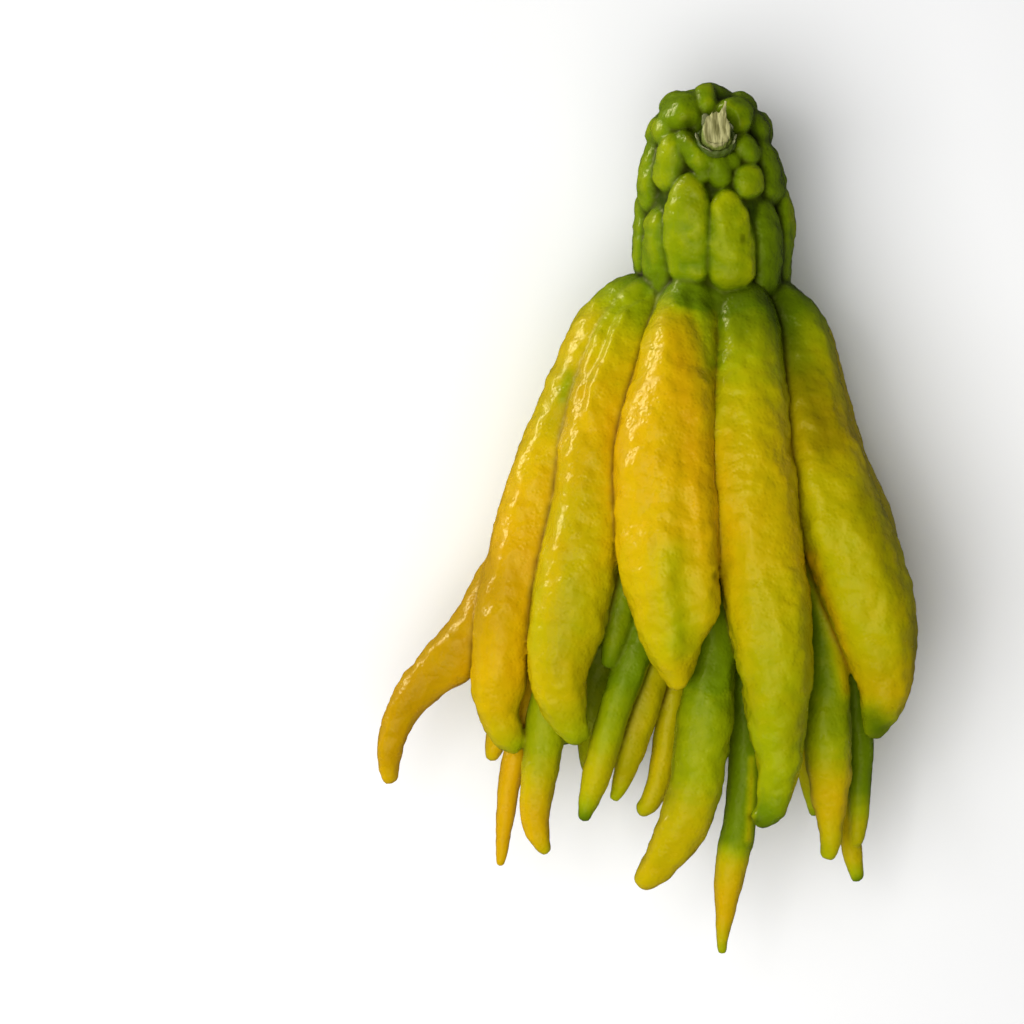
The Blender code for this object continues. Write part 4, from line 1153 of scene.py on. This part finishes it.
def use_group(tree, name, build, inputs):
    """A node of the named effect group, which is built the first time that a material asks for it."""
    group = bpy.data.node_groups.get(name) or build()
    return add_node(tree, "ShaderNodeGroup", inputs, node_tree=group)


def mottled(tree, place, scale, amount):
    """Cloudy variation of that amount either way."""
    inputs = {"Vector": place, "Scale": scale, "Amount": amount}
    return use_group(tree, "mottle", mottle_group, inputs).outputs[0]


def rind_material(skin):
    """Waxy citron skin: green to golden by ripeness, with painted shade in the creases, the knob's hollows
    and along strokes, a few small dark spots, and pitted by oil glands.
    """
    material, tree, shader, place = new_material("citron_rind")
    broad = mottled(tree, place, BROAD_PATCHES, 0.05)
    fine = mottled(tree, place, FINE_PATCHES, 0.06)
    varied = maths(tree, "ADD", maths(tree, "ADD", painted(tree, "ripeness"), broad), fine, clamp=True)
    colour = ramp(tree, varied, [
        (0.0, skin.deep_green), (0.30, skin.leaf_green), (0.46, skin.lime),
        (0.66, skin.lemon), (0.82, skin.gold), (1.0, skin.orange),
    ])
    pits = use_group(tree, "glands", glands_group, {"Vector": place, "Scale": 1.0 / skin.gland_width})
    pitted = blend(tree, maths(tree, "MULTIPLY", pits.outputs["Pit"], 0.06), colour, skin.leaf_green)
    # Painted shade, and a few small dark spots, multiplied in.
    shaded_and_spotted = blend(tree, painted(tree, "dusk"), pitted, skin.dusk, "MULTIPLY")
    # Painted shade deep in the creases between the fingers.
    crease = painted(tree, "crease")
    deep = maths(tree, "MULTIPLY", maths(tree, "POWER", crease, 1.3), 0.9)
    crease_shaded = blend(tree, deep, shaded_and_spotted, skin.crease, "MULTIPLY")
    rough = maths(tree, "ADD", skin.gloss, maths(tree, "MULTIPLY", fine, 0.8))
    rough = maths(tree, "ADD", rough, maths(tree, "MULTIPLY", crease, 0.4), clamp=True)
    waves = bump(tree, mottled(tree, place, CRINKLES, 0.5), skin.crinkle)
    pores = bump(tree, pits.outputs["Height"], skin.gland_depth, Normal=waves)
    set_inputs(tree, shader, {
        "Base Color": crease_shaded, "Roughness": rough, "Specular IOR Level": 0.4,
        "Specular Tint": (*skin.wax, 1.0), "Normal": pores,
    })
    return material


def calyx_material(stalk):
    """Green calyx that dries to a papery khaki at its edges."""
    material, tree, shader, place = new_material("calyx_skin")
    fine = mottled(tree, place, CALYX_PATCHES, 0.25)
    dryness = maths(tree, "ADD", painted(tree, "dryness"), fine, clamp=True)
    set_inputs(tree, shader, {
        "Base Color": blend(tree, dryness, stalk.calyx_colour, stalk.dry_colour),
        "Roughness": maths(tree, "ADD", 0.55, fine), "Normal": bump(tree, fine, 0.2 * MM),
    })
    return material


def stub_material(stalk):
    """Torn pale fibres inside a thin green bark."""
    material, tree, shader, place = new_material("stalk_fibre")
    along_fibres = add_node(tree, "ShaderNodeMapping", {"Vector": place, "Scale": (1, 0.16, 0.3)})
    strands = mottled(tree, along_fibres.outputs[0], FIBRES, 1.0)
    shade = maths(tree, "MULTIPLY", maths(tree, "ADD", strands, 0.35), 1.6, clamp=True)
    torn = blend(tree, shade, stalk.wood_colour, stalk.gap_colour)
    set_inputs(tree, shader, {
        "Base Color": blend(tree, painted(tree, "bark"), torn, stalk.bark_colour),
        "Roughness": 0.8, "Normal": bump(tree, strands, 0.3 * MM),
    })
    return material


def floor_material(stage):
    """Smooth pale paper."""
    material, tree, shader, place = new_material("floor_paper")
    tone = maths(tree, "ADD", mottled(tree, place, PAPER_CLOUDS, 0.3), 0.3, clamp=True)
    shaded = [channel * 0.99 for channel in stage.floor_colour]
    set_inputs(tree, shader, {
        "Base Color": blend(tree, tone, stage.floor_colour, shaded), "Roughness": 0.9,
        "Specular IOR Level": 0.1,
    })
    return material


def finish_piece(piece, material, node):
    """Gives a finished piece its material and ties it to the frame."""
    piece.data.materials.clear()
    piece.data.materials.append(material)
    piece.data.shade_smooth()
    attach(piece, "root")
    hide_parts(node)


# ---------------------------------------------------------------- the stage

def lay_floor(stage):
    """A pale floor, which the waxy skin doesn't mirror."""
    deselect()
    bpy.ops.mesh.primitive_grid_add(x_subdivisions=4, y_subdivisions=4, size=stage.floor_size)
    floor = bpy.context.object
    floor.name = "floor"
    floor.data.materials.append(floor_material(stage))
    floor.visible_glossy = False


def hang_light(name, place, width, height, power, mirrored):
    """An area light that faces the fruit."""
    bpy.ops.object.light_add(type="AREA", location=place)
    light = bpy.context.object
    light.name = name + "_light"
    light.data.shape = "RECTANGLE"
    light.data.size, light.data.size_y = width, height
    light.data.energy = power
    light.visible_glossy = mirrored
    light.rotation_euler = (LIGHT_AIM - Vector(place)).to_track_quat("-Z", "Y").to_euler()


def light_evenly(scene, strength):
    """White light from all round, and colours shown as they are."""
    scene.world = bpy.data.worlds.new("studio")
    scene.world.use_nodes = True
    tree = scene.world.node_tree
    set_inputs(tree, tree.nodes["Background"], {"Color": (1, 1, 1, 1), "Strength": strength})
    scene.view_settings.view_transform = "Standard"


def hang_camera(scene, stage):
    """A camera that looks straight down."""
    bpy.ops.object.camera_add(location=(*CAMERA_POINT, stage.camera_height), rotation=(0, 0, 0))
    scene.camera = bpy.context.object
    scene.camera.name = "camera"
    scene.camera.data.lens = stage.lens
    scene.camera.data.sensor_width = SENSOR_WIDTH
    scene.camera.data.clip_end = 10.0


# ---------------------------------------------------------------- operators

class CITRON_OT_rind(bpy.types.Operator):
    """Grow the fingers and the knob and melt them into one rind"""

    bl_idname = "citron.rind"
    bl_label = "Rind"
    bl_options = {"REGISTER", "UNDO"}

    def execute(self, context):
        skin = context.scene.citron_rind
        fingers = {**OUTER_FINGERS, **INNER_FINGERS}
        bodies = [grow_finger(name, tucked(name, stations)) for name, stations in fingers.items()]
        bodies += [grow_finger("heart", HEART), grow_finger("knob_core", knob_core())]
        bodies += [knob_lobe(f"lobe_{index}", *lobe) for index, lobe in enumerate(KNOB_LOBES)]
        rind = unite(bodies)
        fill_seams(rind)
        melt(rind, skin.cell)
        rind = drop_pockets(rind)
        rind.name = "citron_rind"
        apply_modifier(rind, "Soften", "SMOOTH", factor=0.5, iterations=2)
        smooth_creases(rind, skin)
        draw_ridges(rind)
        raise_relief(rind, skin)
        press_dimple(rind)
        apply_modifier(rind, "Settle", "SMOOTH", factor=0.3, iterations=1)
        flatten_base(rind)
        paint_skin(rind, skin)
        thin_mesh(rind, skin.triangles)
        finish_piece(rind, rind_material(skin), "fruit")
        return {"FINISHED"}


class CITRON_OT_calyx(bpy.types.Operator):
    """Grow the calyx button and its dried sepals round the foot of the stalk"""

    bl_idname = "citron.calyx"
    bl_label = "Calyx"
    bl_options = {"REGISTER", "UNDO"}

    def execute(self, context):
        stalk = context.scene.citron_stalk
        button = turned_solid("calyx_button", CALYX_RINGS, 30)
        only(button)
        face_outwards()
        flaps = [sepal(*flap) for flap in SEPALS]
        calyx = unite([button] + flaps)
        calyx.name = "calyx_button"
        seat(calyx)
        melt(calyx, stalk.cell)
        roughen(calyx, "Shrivel", width=1.3 * MM, stretch=(1, 1, 1), height=0.7 * MM, fineness=2)
        apply_modifier(calyx, "Soften", "SMOOTH", factor=0.5, iterations=1)
        heights = stalk_places(calyx)[:, 2] / MM
        write_layer(calyx.data, "dryness", np.minimum(fade(heights, DRY_FROM, DRY_RUN), DRIEST))
        finish_piece(calyx, calyx_material(stalk), "calyx")
        return {"FINISHED"}


class CITRON_OT_stem_stub(bpy.types.Operator):
    """Grow the cut stalk with its slanted torn face and splinters"""

    bl_idname = "citron.stem_stub"
    bl_label = "Cut Stalk"
    bl_options = {"REGISTER", "UNDO"}

    def execute(self, context):
        stalk = context.scene.citron_stalk
        post = turned_solid("cut_stalk", STALK_RINGS, 24)
        slant_cut(post)
        face_outwards()
        stub = unite([post] + [splinter(*tooth) for tooth in SPLINTERS])
        stub.name = "cut_stalk"
        seat(stub)
        melt(stub, stalk.cell)
        roughen(stub, "Fibres", width=0.7 * MM, stretch=(1, 5, 2.5), height=0.8 * MM, fineness=2)
        apply_modifier(stub, "Soften", "SMOOTH", factor=0.4, iterations=1)
        places = stalk_places(stub) / MM
        reach = np.linalg.norm(places[:, :2], axis=1)
        under_cut = STALK_RINGS[-1][1] - (places[:, 2] - places[:, 1] * math.tan(CUT_RISE))
        bark = fade(reach, BARK_FROM, BARK_RUN) * fade(under_cut, 0, BARK_TOP_RUN)
        write_layer(stub.data, "bark", bark)
        finish_piece(stub, stub_material(stalk), "stem_stub")
        return {"FINISHED"}


class CITRON_OT_stage(bpy.types.Operator):
    """Lay the pale floor and set the soft light and the camera"""

    bl_idname = "citron.stage"
    bl_label = "Stage"
    bl_options = {"REGISTER", "UNDO"}

    def execute(self, context):
        stage = context.scene.citron_stage
        lay_floor(stage)
        for name, (place, width, height, mirrored) in LIGHTS.items():
            hang_light(name, place, width, height, getattr(stage, name + "_power"), mirrored)
        light_evenly(context.scene, stage.fill)
        hang_camera(context.scene, stage)
        return {"FINISHED"}


class CITRON_PT_panel(bpy.types.Panel):
    """Lists the pieces and their settings in the sidebar"""

    bl_idname = "CITRON_PT_panel"
    bl_label = "Buddha's Hand Citron"
    bl_space_type = "VIEW_3D"
    bl_region_type = "UI"
    bl_category = "Citron"

    def draw(self, context):
        scene = context.scene
        for operator, settings in PANEL_ROWS:
            box = self.layout.box()
            box.operator(operator)
            group = getattr(scene, settings)
            for key in group.bl_rna.properties.keys():
                if key not in ("rna_type", "name"):
                    box.prop(group, key)


PANEL_ROWS = [
    ("citron.rind", "citron_rind"), ("citron.calyx", "citron_stalk"), ("citron.stem_stub", "citron_stalk"),
    ("citron.stage", "citron_stage"),
]
SETTINGS = {"citron_rind": RindSettings, "citron_stalk": StalkSettings, "citron_stage": StageSettings}
CLASSES = [
    *SETTINGS.values(), CITRON_OT_rind, CITRON_OT_calyx, CITRON_OT_stem_stub, CITRON_OT_stage,
    CITRON_PT_panel,
]


def register():
    for item in CLASSES:
        bpy.utils.register_class(item)
    for name, group in SETTINGS.items():
        setattr(bpy.types.Scene, name, bpy.props.PointerProperty(type=group))


def unregister():
    for name in SETTINGS:
        delattr(bpy.types.Scene, name)
    for item in reversed(CLASSES):
        bpy.utils.unregister_class(item)


def main():
    register()
    bpy.ops.citron.rind()
    bpy.ops.citron.calyx()
    bpy.ops.citron.stem_stub()
    bpy.ops.citron.stage()


if __name__ == "__main__":
    main()
